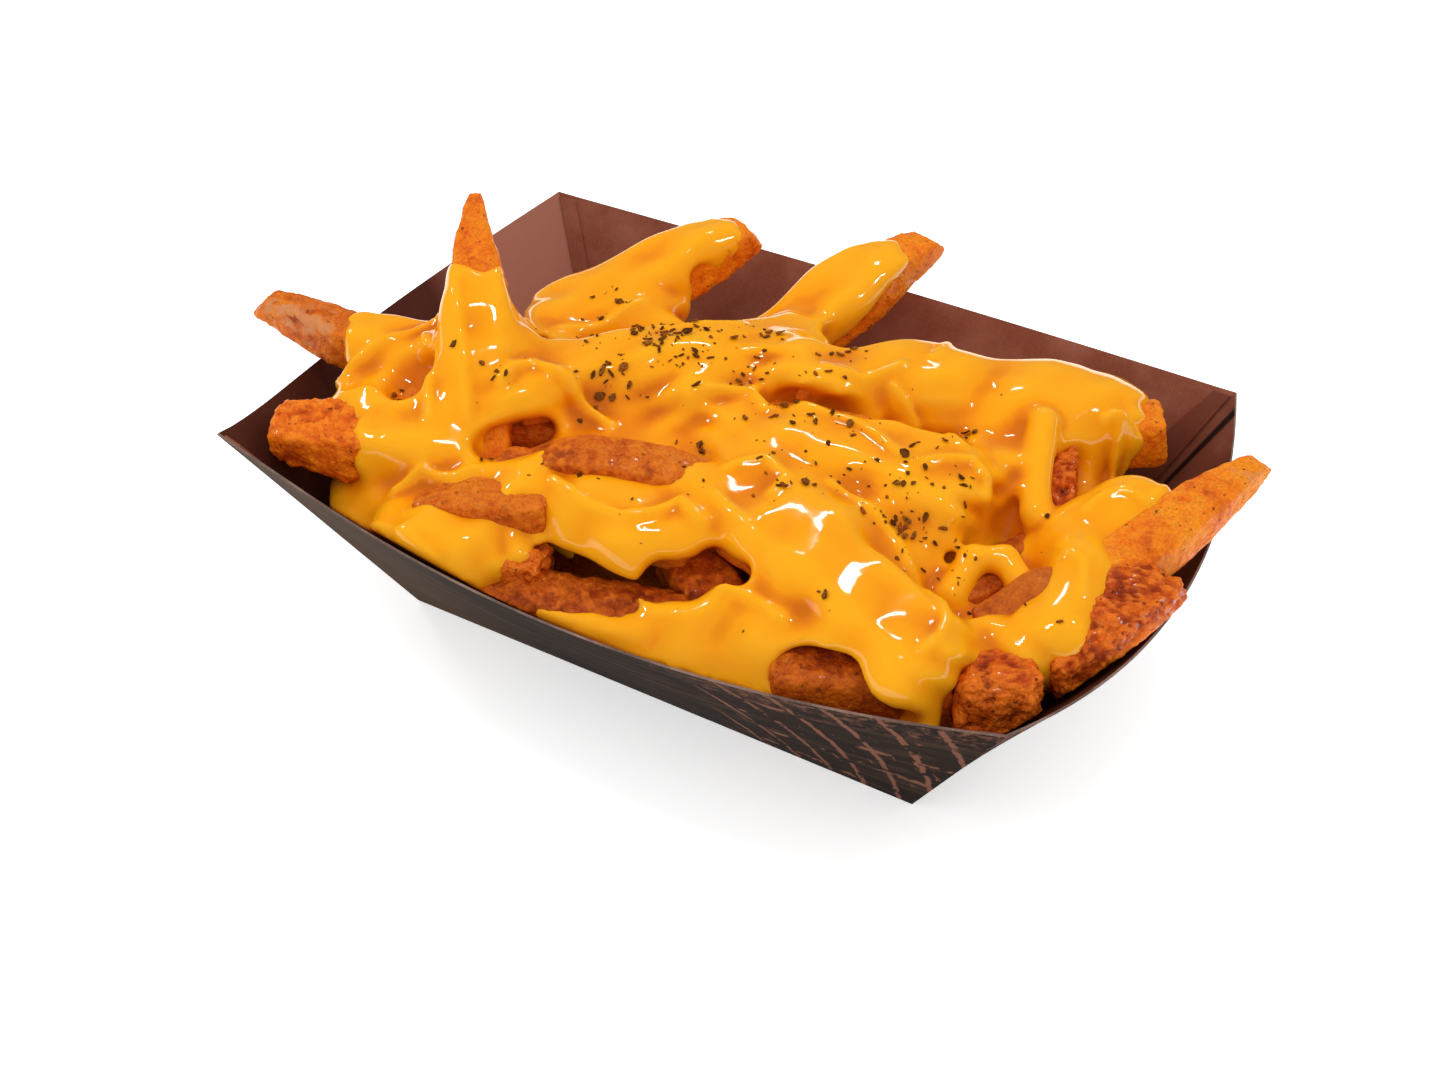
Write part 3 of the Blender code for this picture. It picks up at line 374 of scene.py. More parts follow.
# The side that is broken open, how squarely the crust has to face it, and how fast the flesh fades out with
# that and towards the edge of its place
BROKEN_SIDE = (0.40, -0.67, 0.63)
BROKEN_FACING = 0.62
FACING_FADE = 4
FLESH_FADE = 3

# Colours, from raised places to dips for the sauce (paler on ridges as painted light, deeper in dips partly as
# its thickness and partly as painted shade), and from dark to light flakes for the herbs
CHEESE_COLOURS = (
    (0.1, (0.97, 0.41, 0.008)),
    (0.5, (0.95, 0.345, 0.004)),
    (0.8, (0.80, 0.22, 0.003)),
    (1.0, (0.66, 0.155, 0.003)),
)
LEAF_COLOURS = (
    (0.0, (0.10, 0.030, 0.005)),
    (0.35, (0.17, 0.055, 0.008)),
    (0.7, (0.28, 0.095, 0.011)),
    (1.0, (0.32, 0.070, 0.009)),
)
LEAF_VEIN = (0.038, 0.008, 0.002)
POTATO_FLESH = (0.66, 0.25, 0.085)
BURNT_SPECK = (0.03, 0.008, 0.002)
# Painted shade on the inner end walls, and painted light at the pale left back corner
PAINTED_END_SHADE = (0.050, 0.010, 0.005)
PAINTED_CORNER_LIGHT = (0.38, 0.145, 0.098)
# Painted shade in the slit at the right back corner
PAINTED_SLIT_SHADE = (0.012, 0.004, 0.003)
PRINT_STREAK = (0.085, 0.050, 0.033)
PRINT_PALER = (0.11, 0.070, 0.047)
PRINT_WORN = (0.19, 0.078, 0.048)

# Papers: ground and rubbed colours, how rubbed, how shiny and how bumpy
PAPERS = {
    "paper_inside": ((0.225, 0.060, 0.031), (0.42, 0.17, 0.11), 0.45, 0.15, 0.25),
    # The right corner flaps are darker than the inside: painted shade
    "paper_flap": ((0.16, 0.040, 0.022), (0.24, 0.085, 0.055), 0.45, 0.15, 0.25),
    "paper_outside": ((0.015, 0.009, 0.007), (0.048, 0.029, 0.021), 0.35, 0.01, 0.2),
    "paper_edge": ((0.13, 0.075, 0.055), (0.36, 0.22, 0.17), 0.8, 0.25, 0.4),
}

# Where the painted shade and light inside and that print start and are full, in mm across the outlay or up it
END_WALLS = (180, 200)
LIT_CORNER = (318, 332)
LESS_SHADED_CORNER = (340, 350)
SLIT_LEFT_SIDE = (355, 356)
SLIT_RIGHT_SIDE = (358.5, 357.5)
LEFT_LIGHTENS = (-25, -75)
LINES = (28, 34)
WORN_BOARDS = (34, 50)
WORN_RIM = (15, 40)
WORN_RIM_UP = (40, 52)

# Camera: its angles in radians, the point that it looks at, how far off that is, and the lens and film in mm
CAMERA_YAW, CAMERA_PITCH, CAMERA_ROLL = 0.5367, 0.6797, 0.0042
CAMERA_TARGET = (-0.0020204, -0.0056724, 0.019674)
CAMERA_DISTANCE = 0.4358786
CAMERA_LENS = 48.025
FILM_WIDTH = 36

# Light from wide parts of the sky: from where, how wide in degrees and how strong
SKY_LIGHTS = {
    "fill_top": ((0.0, 0.0, 1), 100, 0.70),
    "fill_front": ((0.2, -0.8, 0.6), 80, 0.95),
    "fill_left": ((-0.8, -0.3, 0.6), 70, 0.75),
    "fill_right": ((0.8, 0.2, 0.6), 70, 0.55),
    "fill_back": ((-0.1, 0.8, 0.7), 70, 0.50),
}
SKY_GLOW = 0.14

# Soft boxes, which the sauce mirrors: place, size in metres and power
SOFT_BOXES = {
    "overhead": ((0.05, -0.12, 0.85), (0.13, 0.035), 0.65),
    "window_left": ((-0.60, -0.05, 0.45), (0.10, 0.045), 0.5),
    "window_right": ((0.50, 0.25, 0.60), (0.03, 0.10), 0.4),
    "strip_back": ((-0.20, 0.50, 0.65), (0.13, 0.03), 0.45),
}
LIT_POINT = (0, 0, 0.03)


# Making and editing meshes


def select_only(thing):
    """Leaves just one object selected and active."""
    bpy.ops.object.select_all(action="DESELECT")
    thing.select_set(True)
    bpy.context.view_layer.objects.active = thing


def start_edit(thing):
    """Opens a piece in edit mode with all of it selected."""
    select_only(thing)
    bpy.ops.object.mode_set(mode="EDIT")
    bpy.ops.mesh.select_all(action="SELECT")


def end_edit():
    bpy.ops.object.mode_set(mode="OBJECT")


def pick(thing, kind, test):
    """Selects in edit mode just the edges or faces that pass a test."""
    bpy.ops.mesh.select_mode(type=kind)
    bpy.ops.mesh.select_all(action="DESELECT")
    end_edit()
    for part in thing.data.edges if kind == "EDGE" else thing.data.polygons:
        part.select = bool(test(part))
    bpy.ops.object.mode_set(mode="EDIT")


def face_outwards(thing):
    """Turns all the faces of a closed piece outwards."""
    start_edit(thing)
    bpy.ops.mesh.normals_make_consistent(inside=False)
    end_edit()


def finish_modifiers(thing):
    """Applies every modifier of the piece in its order."""
    select_only(thing)
    for modifier in list(thing.modifiers):
        bpy.ops.object.modifier_apply(modifier=modifier.name)


def new_object(name, data):
    """An object for some data, put in the scene."""
    thing = bpy.data.objects.new(name, data)
    bpy.context.scene.collection.objects.link(thing)
    return thing


def at_points(thing, what):
    """The place or the normal at each point of a piece, one row for each."""
    values = np.empty(len(thing.data.vertices) * 3, np.float32)
    thing.data.vertices.foreach_get(what, values)
    return values.reshape(-1, 3).astype(np.float64)


def store(thing, name, values):
    """Stores a value at each point of a piece, which its material reads."""
    mark = thing.data.attributes.new(name, "FLOAT", "POINT")
    mark.data.foreach_set("value", np.array(values, np.float32))


# Tray


def wall_rim(side_share, long_wall):
    """Outward half size and height of the rim at a place from -1 to 1 along its wall."""
    swell = 1 - side_share * side_share
    if long_wall:
        return RIM_HALF_WIDTH + LONG_WALL_BOW * swell, CORNER_HEIGHT - LONG_WALL_DIP * swell
    return RIM_HALF_LENGTH + END_WALL_BOW * swell, CORNER_HEIGHT - END_WALL_DIP * swell


def wall_point(along, side, climb, long_wall):
    """A point of the paper: a wall's lines run straight from the floor's edge to the bowed rim."""
    reach, height = wall_rim(along, long_wall)
    if long_wall:
        low = Vector((along * FLOOR_HALF_LENGTH, side * FLOOR_HALF_WIDTH, 0))
        high = Vector((along * RIM_HALF_LENGTH, side * reach, height))
    else:
        low = Vector((side * FLOOR_HALF_LENGTH, along * FLOOR_HALF_WIDTH, 0))
        high = Vector((side * reach, along * RIM_HALF_WIDTH, height))
    point = low.lerp(high, climb)
    if point.x < 0 and point.y < 0:
        share = abs(along) ** FLARE_NARROWNESS * climb
        point -= Vector((1, FRONT_FLARE_SHARE, 0)) * FRONT_LEFT_FLARE * share
    return point


def wall_room(x, y, z):
    """Distance from points inside the tray to its nearest inner face, negative past it."""
    spread = np.clip(z / (CORNER_HEIGHT - LONG_WALL_DIP / 2), 0, 2)

    def room(along, out, floor_end, rim_end, foot, long_wall):
        along = np.clip(along / (floor_end + (rim_end - floor_end) * spread), -1, 1)
        reach, height = wall_rim(along, long_wall)
        face = foot + (reach - foot) * z / height
        return (face - np.abs(out)) * height / np.hypot(height, reach - foot)

    long_room = room(x, y, FLOOR_HALF_LENGTH, RIM_HALF_LENGTH, FLOOR_HALF_WIDTH, True)
    end_room = room(y, x, FLOOR_HALF_WIDTH, RIM_HALF_WIDTH, FLOOR_HALF_LENGTH, False)
    return np.minimum(np.minimum(long_room, end_room), z) - PAPER


def over_the_rim(fry):
    """Whether a fry's outer end lies past the rim, so that it crosses above the wall."""
    end = Vector(fry.outer) * MM
    long_reach = wall_rim(max(-1, min(1, end.x / RIM_HALF_LENGTH)), True)[0]
    end_reach = wall_rim(max(-1, min(1, end.y / RIM_HALF_WIDTH)), False)[0]
    return abs(end.x) > end_reach or abs(end.y) > long_reach


def lay_out(sheet, corners):
    """Gives the sheet its outlay: each wall's length and height, and the floor, in mm."""
    outlay = sheet.data.uv_layers.active
    for face in sheet.data.polygons:
        for loop in face.loop_indices:
            a, b, c = corners[sheet.data.loops[loop].vertex_index]
            climb = (c + 1) / 2
            if abs(face.normal.y) > 0.5:
                place = (a * RIM_HALF_LENGTH / MM, climb * CORNER_HEIGHT / MM)
            elif abs(face.normal.x) > 0.5:
                place = (b * RIM_HALF_WIDTH / MM + END_WALLS_ACROSS, climb * CORNER_HEIGHT / MM)
            else:
                place = (a * FLOOR_HALF_LENGTH / MM, b * FLOOR_HALF_WIDTH / MM - FLOOR_BELOW)
            outlay.data[loop].uv = place


def folded_tray():
    """The tray's sheet: an open box cut fine, bent to the bowed shape and given the paper's thickness."""
    bpy.ops.mesh.primitive_cube_add(size=2)
    sheet = bpy.context.object
    sheet.name = "paper_tray"
    start_edit(sheet)
    pick(sheet, "FACE", lambda face: face.normal.z > 0.5)
    bpy.ops.mesh.delete(type="ONLY_FACE")
    bpy.ops.mesh.select_all(action="SELECT")
    bpy.ops.mesh.subdivide(number_cuts=PAPER_CUTS)
    end_edit()
    corners = [vert.co.copy() for vert in sheet.data.vertices]
    lay_out(sheet, corners)
    for vert, (a, b, c) in zip(sheet.data.vertices, corners):
        climb = (c + 1) / 2
        if abs(b) > ON_WALL:
            vert.co = wall_point(a, math.copysign(1, b), climb, True)
        elif abs(a) > ON_WALL:
            vert.co = wall_point(b, math.copysign(1, a), climb, False)
        else:
            vert.co = Vector((a * FLOOR_HALF_LENGTH, b * FLOOR_HALF_WIDTH, 0))
    for material in ("paper_outside", "paper_inside", "paper_edge"):
        sheet.data.materials.append(bpy.data.materials[material])
    paper = sheet.modifiers.new("paper", "SOLIDIFY")
    paper.thickness = PAPER
    paper.offset = -1
    paper.use_even_offset = True
    paper.material_offset = 1
    paper.material_offset_rim = 2
    finish_modifiers(sheet)
    bpy.ops.object.shade_smooth_by_angle(angle=FOLD_ANGLE)
    return sheet


def corner_flap(name, side_x, side_y, reach):
    """The gusset of one corner: a plate of folded paper glued to the inside of the long wall."""
    bpy.ops.mesh.primitive_cube_add(size=1)
    flap = bpy.context.object
    flap.name = name
    start_edit(flap)
    bpy.ops.mesh.subdivide(number_cuts=FLAP_CUTS)
    end_edit()
    for vert in flap.data.vertices:
        across = vert.co.x + 0.5
        up = vert.co.z + 0.5
        depth = PAPER + FLAP_STEP * (0.5 - vert.co.y)
        along = side_x * (FLAP_CORNER - across * (FLAP_TOP + (reach - FLAP_TOP) * (1 - up)))
        climb = FLAP_FOOT + (FLAP_HEAD - FLAP_FOOT) * up
        reach_out, height = wall_rim(along, True)
        lean = Vector((0, -side_y * height, reach_out - FLOOR_HALF_WIDTH)).normalized()
        vert.co = wall_point(along, side_y, climb, True) + lean * depth
    face_outwards(flap)
    # The right flaps get the darker paper: painted shade at the right corners
    flap.data.materials.append(bpy.data.materials["paper_flap" if side_x > 0 else "paper_inside"])
    bevel = flap.modifiers.new("soft_edge", "BEVEL")
    bevel.width = FLAP_ROUNDING
    bevel.segments = 1
    bevel.limit_method = "ANGLE"
    finish_modifiers(flap)
    bpy.ops.object.shade_smooth_by_angle(angle=FLAP_ANGLE)
    return flap


# Fries


def place_of(fry):
    """Start, length and the three axes of a fry: along it, across it and up."""
    inner = Vector(fry.inner) * MM
    run = Vector(fry.outer) * MM - inner
    along = run.normalized()
    across = Vector((0, 0, 1)).cross(along).normalized()
    return inner, run.length, along, across, along.cross(across)


def end_taper(fry, share):
    """Size of the section at a share of the length: full in the middle, smaller towards each end."""
    near = (1 - min(share / 0.5, 1)) ** END_NARROWING
    narrowing = POINTED_NARROWING if fry.outer_size < POINTED else END_NARROWING
    far = (1 - min((1 - share) / 0.5, 1)) ** narrowing
    return 1 - near * (1 - fry.inner_size) - far * (1 - fry.outer_size)


def is_coated(fry):
    return fry.coat == (0, 1)


def cut_bar(fry, length, rng):
    """A fry along X: a chamfered slab, drawn out ring by ring, bowed, tapered and cut off at a slant."""
    wide, thick = fry.wide * MM, fry.thick * MM
    rings = max(FEWEST_RINGS, round(length / RING_SPACING))
    step = length / rings
    size = end_taper(fry, 0.0)
    bpy.ops.mesh.primitive_cube_add(size=1, location=(step / 2, 0, 0))
    bar = bpy.context.object
    bar.name = "fry_" + fry.name
    bpy.ops.transform.resize(value=(step, wide * size, thick * size))
    bpy.ops.object.transform_apply(location=True, rotation=True, scale=True)
    start_edit(bar)

    def runs_along(edge):
        one, other = (bar.data.vertices[end].co.x for end in edge.vertices)
        return abs(one - other) > step / 2

    pick(bar, "EDGE", runs_along)
    bpy.ops.mesh.bevel(offset=CHAMFER * min(wide, thick) * size, segments=1, affect="EDGES")
    pick(bar, "FACE", lambda face: face.normal.x > 0.9)
    side, height = 0.0, 0.0
    for ring in range(1, rings):
        share = (ring + 1) / rings
        bigger = end_taper(fry, share) / size
        size = end_taper(fry, share)
        narrowed = (1 - size) / 2 if share > 0.5 else 0
        new_side = fry.lean[0] * wide * narrowed + rng.uniform(-SIDE_WOBBLE, SIDE_WOBBLE) * MM
        new_height = 4 * share * (1 - share) * (fry.bow * MM) + fry.lean[1] * thick * narrowed
        move = (step, new_side - side, new_height - height)
        bpy.ops.mesh.extrude_region_move(TRANSFORM_OT_translate={"value": move})
        side, height = new_side, new_height
        middle = (length * share, side, height)
        wider, thicker = (bigger * rng.uniform(1 - SIZE_WOBBLE, 1 + SIZE_WOBBLE) for _ in range(2))
        bpy.ops.transform.resize(value=(1, wider, thicker), center_override=middle)
        twist = math.radians(rng.uniform(-TWIST, TWIST))
        bpy.ops.transform.rotate(value=twist, orient_axis="X", center_override=middle)
    end = (length, side, height)
    bpy.ops.transform.rotate(value=math.radians(fry.cut), orient_axis="Y", center_override=end)
    bpy.ops.mesh.inset(thickness=END_INSET * min(wide, thick) * size)
    pick(bar, "FACE", lambda face: face.normal.x < -0.9)
    bpy.ops.mesh.inset(thickness=END_INSET * min(wide, thick))
    end_edit()
    return bar


def push_out(bar, kind, strength):
    """Makes the crust uneven by one kind of clouds."""
    clouds = bpy.data.textures.get(kind)
    if clouds is None:
        clouds = bpy.data.textures.new(kind, "CLOUDS")
        clouds.noise_scale, clouds.noise_depth = CRUST_CLOUDS[kind]
    push = bar.modifiers.new("uneven", "DISPLACE")
    push.texture = clouds
    push.texture_coords = "LOCAL"
    push.strength = strength
    push.mid_level = 0.5


def laid_fry(fry):
    """One fry of the table, in its place, rounded, with its crust, and held off the tray's walls."""
    start, length, along, across, up = place_of(fry)
    bar = cut_bar(fry, length, random.Random(fry.name))
    bar.data.transform(Matrix((along, across, up)).transposed().to_4x4())
    bar.data.transform(Matrix.Translation(start))
    round_off = bar.modifiers.new("round_off", "SUBSURF")
    round_off.levels = round_off.render_levels = COATED_LEVELS if is_coated(fry) else BARE_LEVELS
    crust = CRUSTS[fry.look]
    push_out(bar, "broad", crust.broad * MM)
    push_out(bar, "bumps", crust.bumps * MM)
    if not is_coated(fry):
        push_out(bar, "grain", crust.grain * MM)
    finish_modifiers(bar)
    if not over_the_rim(fry):
        hold_off_walls(bar)
    bpy.ops.object.shade_smooth()
    bar.data.materials.append(bpy.data.materials[fry.look + "_crust"])
    if not is_coated(fry):
        mark_valleys(bar, *CRUST_VALLEYS)
        mark_flesh(bar, fry)
    return bar


def mark_flesh(bar, fry):
    """Stores where a fry shows its pale inside: on its broken side, round the middle of each such place."""
    points = at_points(bar, "co")
    facing = at_points(bar, "normal") @ BROKEN_SIDE
    flesh = np.zeros(len(points))
    for name, middle, radius in BROKEN_PLACES:
        if name == fry.name:
            near = 1 - np.linalg.norm(points / MM - middle, axis=1) / radius
            turned = np.clip(FACING_FADE * (facing - BROKEN_FACING), 0, 1)
            flesh = np.maximum(flesh, np.clip(FLESH_FADE * near, 0, 1) * turned)
    store(bar, "flesh", flesh)


def hold_off_walls(bar):
    """Moves the points of a fry that come too near the tray's walls back towards its middle."""
    points = at_points(bar, "co")
    for _ in range(HOLD_OFF_ROUNDS):
        lack = WALL_GAP - wall_room(points[:, 0], points[:, 1], points[:, 2])
        if lack.max() <= 0:
            break
        inward = np.column_stack([-points[:, 0] / RIM_HALF_LENGTH, -points[:, 1] / RIM_HALF_WIDTH])
        inward /= np.linalg.norm(inward, axis=1)[:, None] + 1e-9
        move = np.maximum(lack, 0)[:, None]
        points[:, :2] += inward * move
        points[:, 2] += HOLD_OFF_LIFT * move[:, 0]
    bar.data.vertices.foreach_set("co", points.astype(np.float32).ravel())
    bar.data.update()


def low_fries():
    """The fries under the heap that show in its gaps and pockets, laid in two layers by a seeded rule."""
    rng = random.Random("lower layer")
    looks = random.Random("lower looks")
    for layer, (height, half_x, half_y, count) in enumerate(LAYERS):
        for number in range(count):
            across = half_y * (2 * ((number + 0.5) / count) - 1) + rng.uniform(-STRAY_ACROSS, STRAY_ACROSS)
            along = rng.uniform(-STRAY_ALONG, STRAY_ALONG) * half_x
            length = rng.uniform(*LOW_LENGTHS)
            turn = rng.uniform(-LOW_TURN, LOW_TURN)
            slope = rng.uniform(-LOW_SLOPE, LOW_SLOPE)
            run = Vector((math.cos(turn), math.sin(turn), slope)) * length / 2
            middle = Vector((along, across, height + rng.uniform(-STRAY_UP, STRAY_UP)))
            look = looks.choice(("golden", "dark", "orange"))
            ends = tuple(middle - run), tuple(middle + run)
            yield Fry(f"lower_{layer}_{number}", *ends, *LOW_FRY, look=look)


# Sauce


class Field:
    """Distances to a soft shape on a grid of points, negative inside it."""

    def __init__(self, low, high, voxel):
        self.low = np.array(low, np.float64)
        self.voxel = voxel
        self.count = np.ceil((np.array(high) - self.low) / voxel).astype(int) + 1
        self.values = np.full(self.count, FAR_OUTSIDE, np.float32)

    def points(self, first=(0, 0, 0), last=None):
        """The grid's points, or those between two corners, as three arrays that combine."""
        last = self.count if last is None else last
        lines = (self.low[i] + self.voxel * np.arange(first[i], last[i]) for i in range(3))
        return np.meshgrid(*(line.astype(np.float32) for line in lines), indexing="ij", sparse=True)

    def part(self, low, high, pad):
        """The grid's slices for a box, and its points."""
        first = ((np.array(low) - pad - self.low) / self.voxel).astype(int)
        last = ((np.array(high) + pad - self.low) / self.voxel).astype(int) + 2
        first, last = np.clip(first, 0, self.count - 1), np.clip(last, 1, self.count)
        return tuple(slice(a, b) for a, b in zip(first, last)), self.points(first, last)

    def add(self, shape, blend):
        """Adds a shape, given as its box and its distance, and fills the crease that it makes."""
        box, distance = shape
        cut, points = self.part(*box, 2 * blend)
        self.values[cut] = soft_min(self.values[cut], distance(*points), blend)

    def remove(self, shape, blend):
        box, distance = shape
        cut, points = self.part(*box, 2 * blend)
        self.values[cut] = -soft_min(-self.values[cut], distance(*points), blend)

    def clip_to_tray(self):
        """Cuts the field off where it would come near the tray's walls, or below the sauce's lowest place."""
        x, y, z = self.points()
        self.values = np.maximum(self.values, (WALL_GAP - wall_room(x, y, z)).astype(np.float32))
        self.values = np.maximum(self.values, (SAUCE_LOWEST - z).astype(np.float32))

    def surface(self, name):
        """The closed surface where the distance is nothing."""
        grid = openvdb.FloatGrid(FAR_OUTSIDE)
        grid.copyFromArray(self.values)
        points, quads = grid.convertToQuads(0.0)
        mesh = bpy.data.meshes.new(name)
        mesh.from_pydata((points * self.voxel + self.low).tolist(), [], quads.tolist())
        thing = new_object(name, mesh)
        face_outwards(thing)
        return thing


def soft_min(a, b, blend):
    """The nearer of two shapes, with the crease between them filled."""
    near = np.maximum(blend - np.abs(a - b), 0) / blend
    return np.minimum(a, b) - near * near * blend / 4


def box_round(points, margin):
    """The box that holds some points given in mm, with a margin given in mm."""
    return (np.min(points, axis=0) - margin) * MM, (np.max(points, axis=0) + margin) * MM


def egg(centre, sizes, drawn_down=False):
    """An ellipsoid, or one drawn straight down to the tray's floor below its middle."""
    middle = [c * MM for c in centre]
    radii = [r * MM for r in sizes]
    low, high = box_round([centre], sizes)
    if drawn_down:
        low[2] = 0

    def distance(x, y, z):
        rise = np.maximum(z - middle[2], 0) if drawn_down else z - middle[2]
        ax, ay, az = (x - middle[0]) / radii[0], (y - middle[1]) / radii[1], rise / radii[2]
        near = np.sqrt(ax * ax + ay * ay + az * az) + 1e-6
        steep = np.sqrt((ax / radii[0]) ** 2 + (ay / radii[1]) ** 2 + (az / radii[2]) ** 2) + 1e-6
        return near * (near - 1) / steep

    return (low, high), distance


def waves(level, places, kinds, turns):
    """A level made uneven by sine waves, each of its own length, depth and turn."""
    for place, (length, depth), turn in zip(places, kinds, turns):
        level = level + depth * np.sin(place / length + turn)
    return level


def coat_of(fry):
    """The sauce on a fry: a rounded bar on its upper half that hangs over its sides, thin at a free edge."""
    start, length, along, across, up = place_of(fry)
    begin, end = (share * length for share in fry.coat)
    low_edge = COAT_HANGS_TO * fry.thick * MM
    rng = random.Random("coat of " + fry.name)
    turns = [rng.uniform(0, math.tau) for _ in range(4)]

    def distance(x, y, z):
        dx, dy, dz = x - start.x, y - start.y, z - start.z
        far, side, rise = (dx * axis.x + dy * axis.y + dz * axis.z for axis in (along, across, up))
        share = np.clip(far / length, 0, 1)
        rise = rise - 4 * share * (1 - share) * fry.bow * MM
        far = far + EDGE_WOBBLE * waves(0, (side, side + rise), EDGE_WAVES, turns[:2])
        thin = 1 - share ** 3 * (1 - fry.outer_size) * COAT_THINNING
        free = np.clip((end - far) / FREE_EDGE, 0, 1) if fry.coat[1] < 1 else 1.0
        full = EDGE_THINNING + (1 - EDGE_THINNING) * free * free * (3 - 2 * free)
        uneven = waves(1, (far, far), THICKNESS_WAVES, turns[2:])
        high_edge = 0.5 * fry.thick * MM * thin + COAT * full * uneven
        half_side = fry.wide * MM / 2 * thin * (2 * uneven + 1) / 3 + COAT_SIDE * full
        half_rise = (high_edge - low_edge) / 2
        rounding = np.minimum(COAT_ROUNDING, COAT_ROUNDEST * half_rise)
        qx = np.abs(far - (begin + end) / 2) - (end - begin) / 2 - COAT / 2 + rounding
        qy = np.abs(side) - half_side + rounding
        qz = np.abs(rise - (high_edge + low_edge) / 2) - half_rise + rounding
        outside = np.sqrt(np.maximum(qx, 0) ** 2 + np.maximum(qy, 0) ** 2 + np.maximum(qz, 0) ** 2)
        inside = np.minimum(np.maximum(np.maximum(qx, qy), qz), 0)
        return outside + inside - rounding

    return box_round([fry.inner, fry.outer], fry.wide), distance


def drip(top, bottom, top_radius, bottom_radius):
    """A rounded run between two points, as thick as is told at each."""
    a, b = Vector(top) * MM, Vector(bottom) * MM
    run = b - a

    def distance(x, y, z):
        dx, dy, dz = x - a.x, y - a.y, z - a.z
        share = np.clip((dx * run.x + dy * run.y + dz * run.z) / run.length_squared, 0, 1)
        gap = (dx - share * run.x) ** 2 + (dy - share * run.y) ** 2 + (dz - share * run.z) ** 2
        return np.sqrt(gap) - (top_radius + (bottom_radius - top_radius) * share) * MM

    return box_round([top, bottom], max(top_radius, bottom_radius)), distance


def level_ring(centre, radius, bead):
    """A small ring that lies level."""
    middle = [c * MM for c in centre]

    def distance(x, y, z):
        flat = np.hypot(x - middle[0], y - middle[1]) - radius * MM
        return np.hypot(flat, z - middle[2]) - bead * MM

    return box_round([centre], radius + bead), distance


def slow_waves(field, seed, wavelength, depth):
    """Makes the sauce a little thicker and thinner in waves."""
    rng = random.Random(seed)
    x, y, z = field.points()
    total = 0
    for _ in range(WAVES_MIXED):
        way = Vector([rng.gauss(0, 1) for _ in range(3)]).normalized()
        way = way * (math.tau / wavelength) * rng.uniform(*WAVE_SPREAD)
        phase = rng.uniform(0, math.tau)
        total = total + np.sin(x * way.x + y * way.y + z * way.z + phase)
    field.values += (total * depth / WAVES_MIXED ** 0.5).astype(np.float32)


def add_ridge(field, height, line):
    """Raises the sauce a little along a line of places, seen from above."""
    low, high = (np.array([*edge(line, axis=0), 0]) * MM for edge in (np.min, np.max))
    low[2], high[2] = SAUCE_LOWEST, SAUCE_REGION[1][2]
    cut, (x, y, _) = field.part(low, high, 3 * RIDGE_WIDTH)
    nearest = np.full(np.broadcast(x, y).shape, FAR_OUTSIDE)
    for one, other in zip(line, line[1:]):
        ax, ay = one[0] * MM, one[1] * MM
        run_x, run_y = (other[0] - one[0]) * MM, (other[1] - one[1]) * MM
        share = np.clip(((x - ax) * run_x + (y - ay) * run_y) / (run_x ** 2 + run_y ** 2), 0, 1)
        nearest = np.minimum(nearest, np.hypot(x - ax - share * run_x, y - ay - share * run_y))
    field.values[cut] -= (RIDGE_LIFT * height * MM * np.exp(-(nearest / RIDGE_WIDTH) ** 2)).astype(np.float32)


def poured_sauce():
    """The sauce: a bed on the mounds, coats on the covered fries and drips, less the hollows and gaps."""
    field = Field(*SAUCE_REGION, SAUCE_VOXEL)
    for mound in MOUNDS:
        field.add(egg(*mound, drawn_down=True), MOUND_BLEND)
    field.values = np.maximum(field.values, -(field.values + BED_DEPTH))
    field.clip_to_tray()
    for fry in FRIES:
        if fry.coat[1] > fry.coat[0]:
            field.add(coat_of(fry), WEB)
    for swell in SWELLS:
        field.add(drip(*swell), WEB)
    for wave in SAUCE_WAVES:
        slow_waves(field, *wave)
    for ridge in RIDGES:
        add_ridge(field, *ridge)
    for hollow in HOLLOWS:
        field.remove(egg(*hollow), HOLLOW_EDGE)
    for gap in GAPS:
        field.remove(drip(*gap), HOLLOW_EDGE)
    for strand in STRANDS:
        field.add(drip(*strand), STRAND_WEB)
    field.add(level_ring(*RING), STRAND_WEB)
    field.clip_to_tray()
    sauce = field.surface("poured_sauce")
    calm = sauce.modifiers.new("calm", "SMOOTH")
    calm.factor = 0.5
    calm.iterations = 2
    triangles = 2 * len(sauce.data.polygons)
    if triangles > MOST_TRIANGLES:
        fewer = sauce.modifiers.new("fewer", "DECIMATE")
        fewer.ratio = MOST_TRIANGLES / triangles
    finish_modifiers(sauce)
    bpy.ops.object.shade_smooth()
    sauce.data.materials.append(bpy.data.materials["poured_cheese"])
    mark_valleys(sauce, *SAUCE_VALLEYS)
    return sauce


def mark_valleys(thing, rounds, contrast):
    """Stores how far each point lies in a dip or on a ridge, which its material colours as painted shade and
    light, and on the sauce also as the colour of thick and thin places.
    """
    points = at_points(thing, "co")
    edges = np.empty(len(thing.data.edges) * 2, np.int32)
    thing.data.edges.foreach_get("vertices", edges)
    one, other = edges.reshape(-1, 2).T
    total = len(points)
    near = np.maximum(np.bincount(one, minlength=total) + np.bincount(other, minlength=total), 1)
    calm = points.copy()
    for _ in range(rounds):
        calm = np.column_stack([
            (np.bincount(one, calm[other, k], total) + np.bincount(other, calm[one, k], total)) / near
            for k in range(3)
        ])
    dip = ((calm - points) * at_points(thing, "normal")).sum(axis=1) / MM
    store(thing, "valley", np.clip(0.5 + dip * contrast, 0, 1))


# Herb flakes


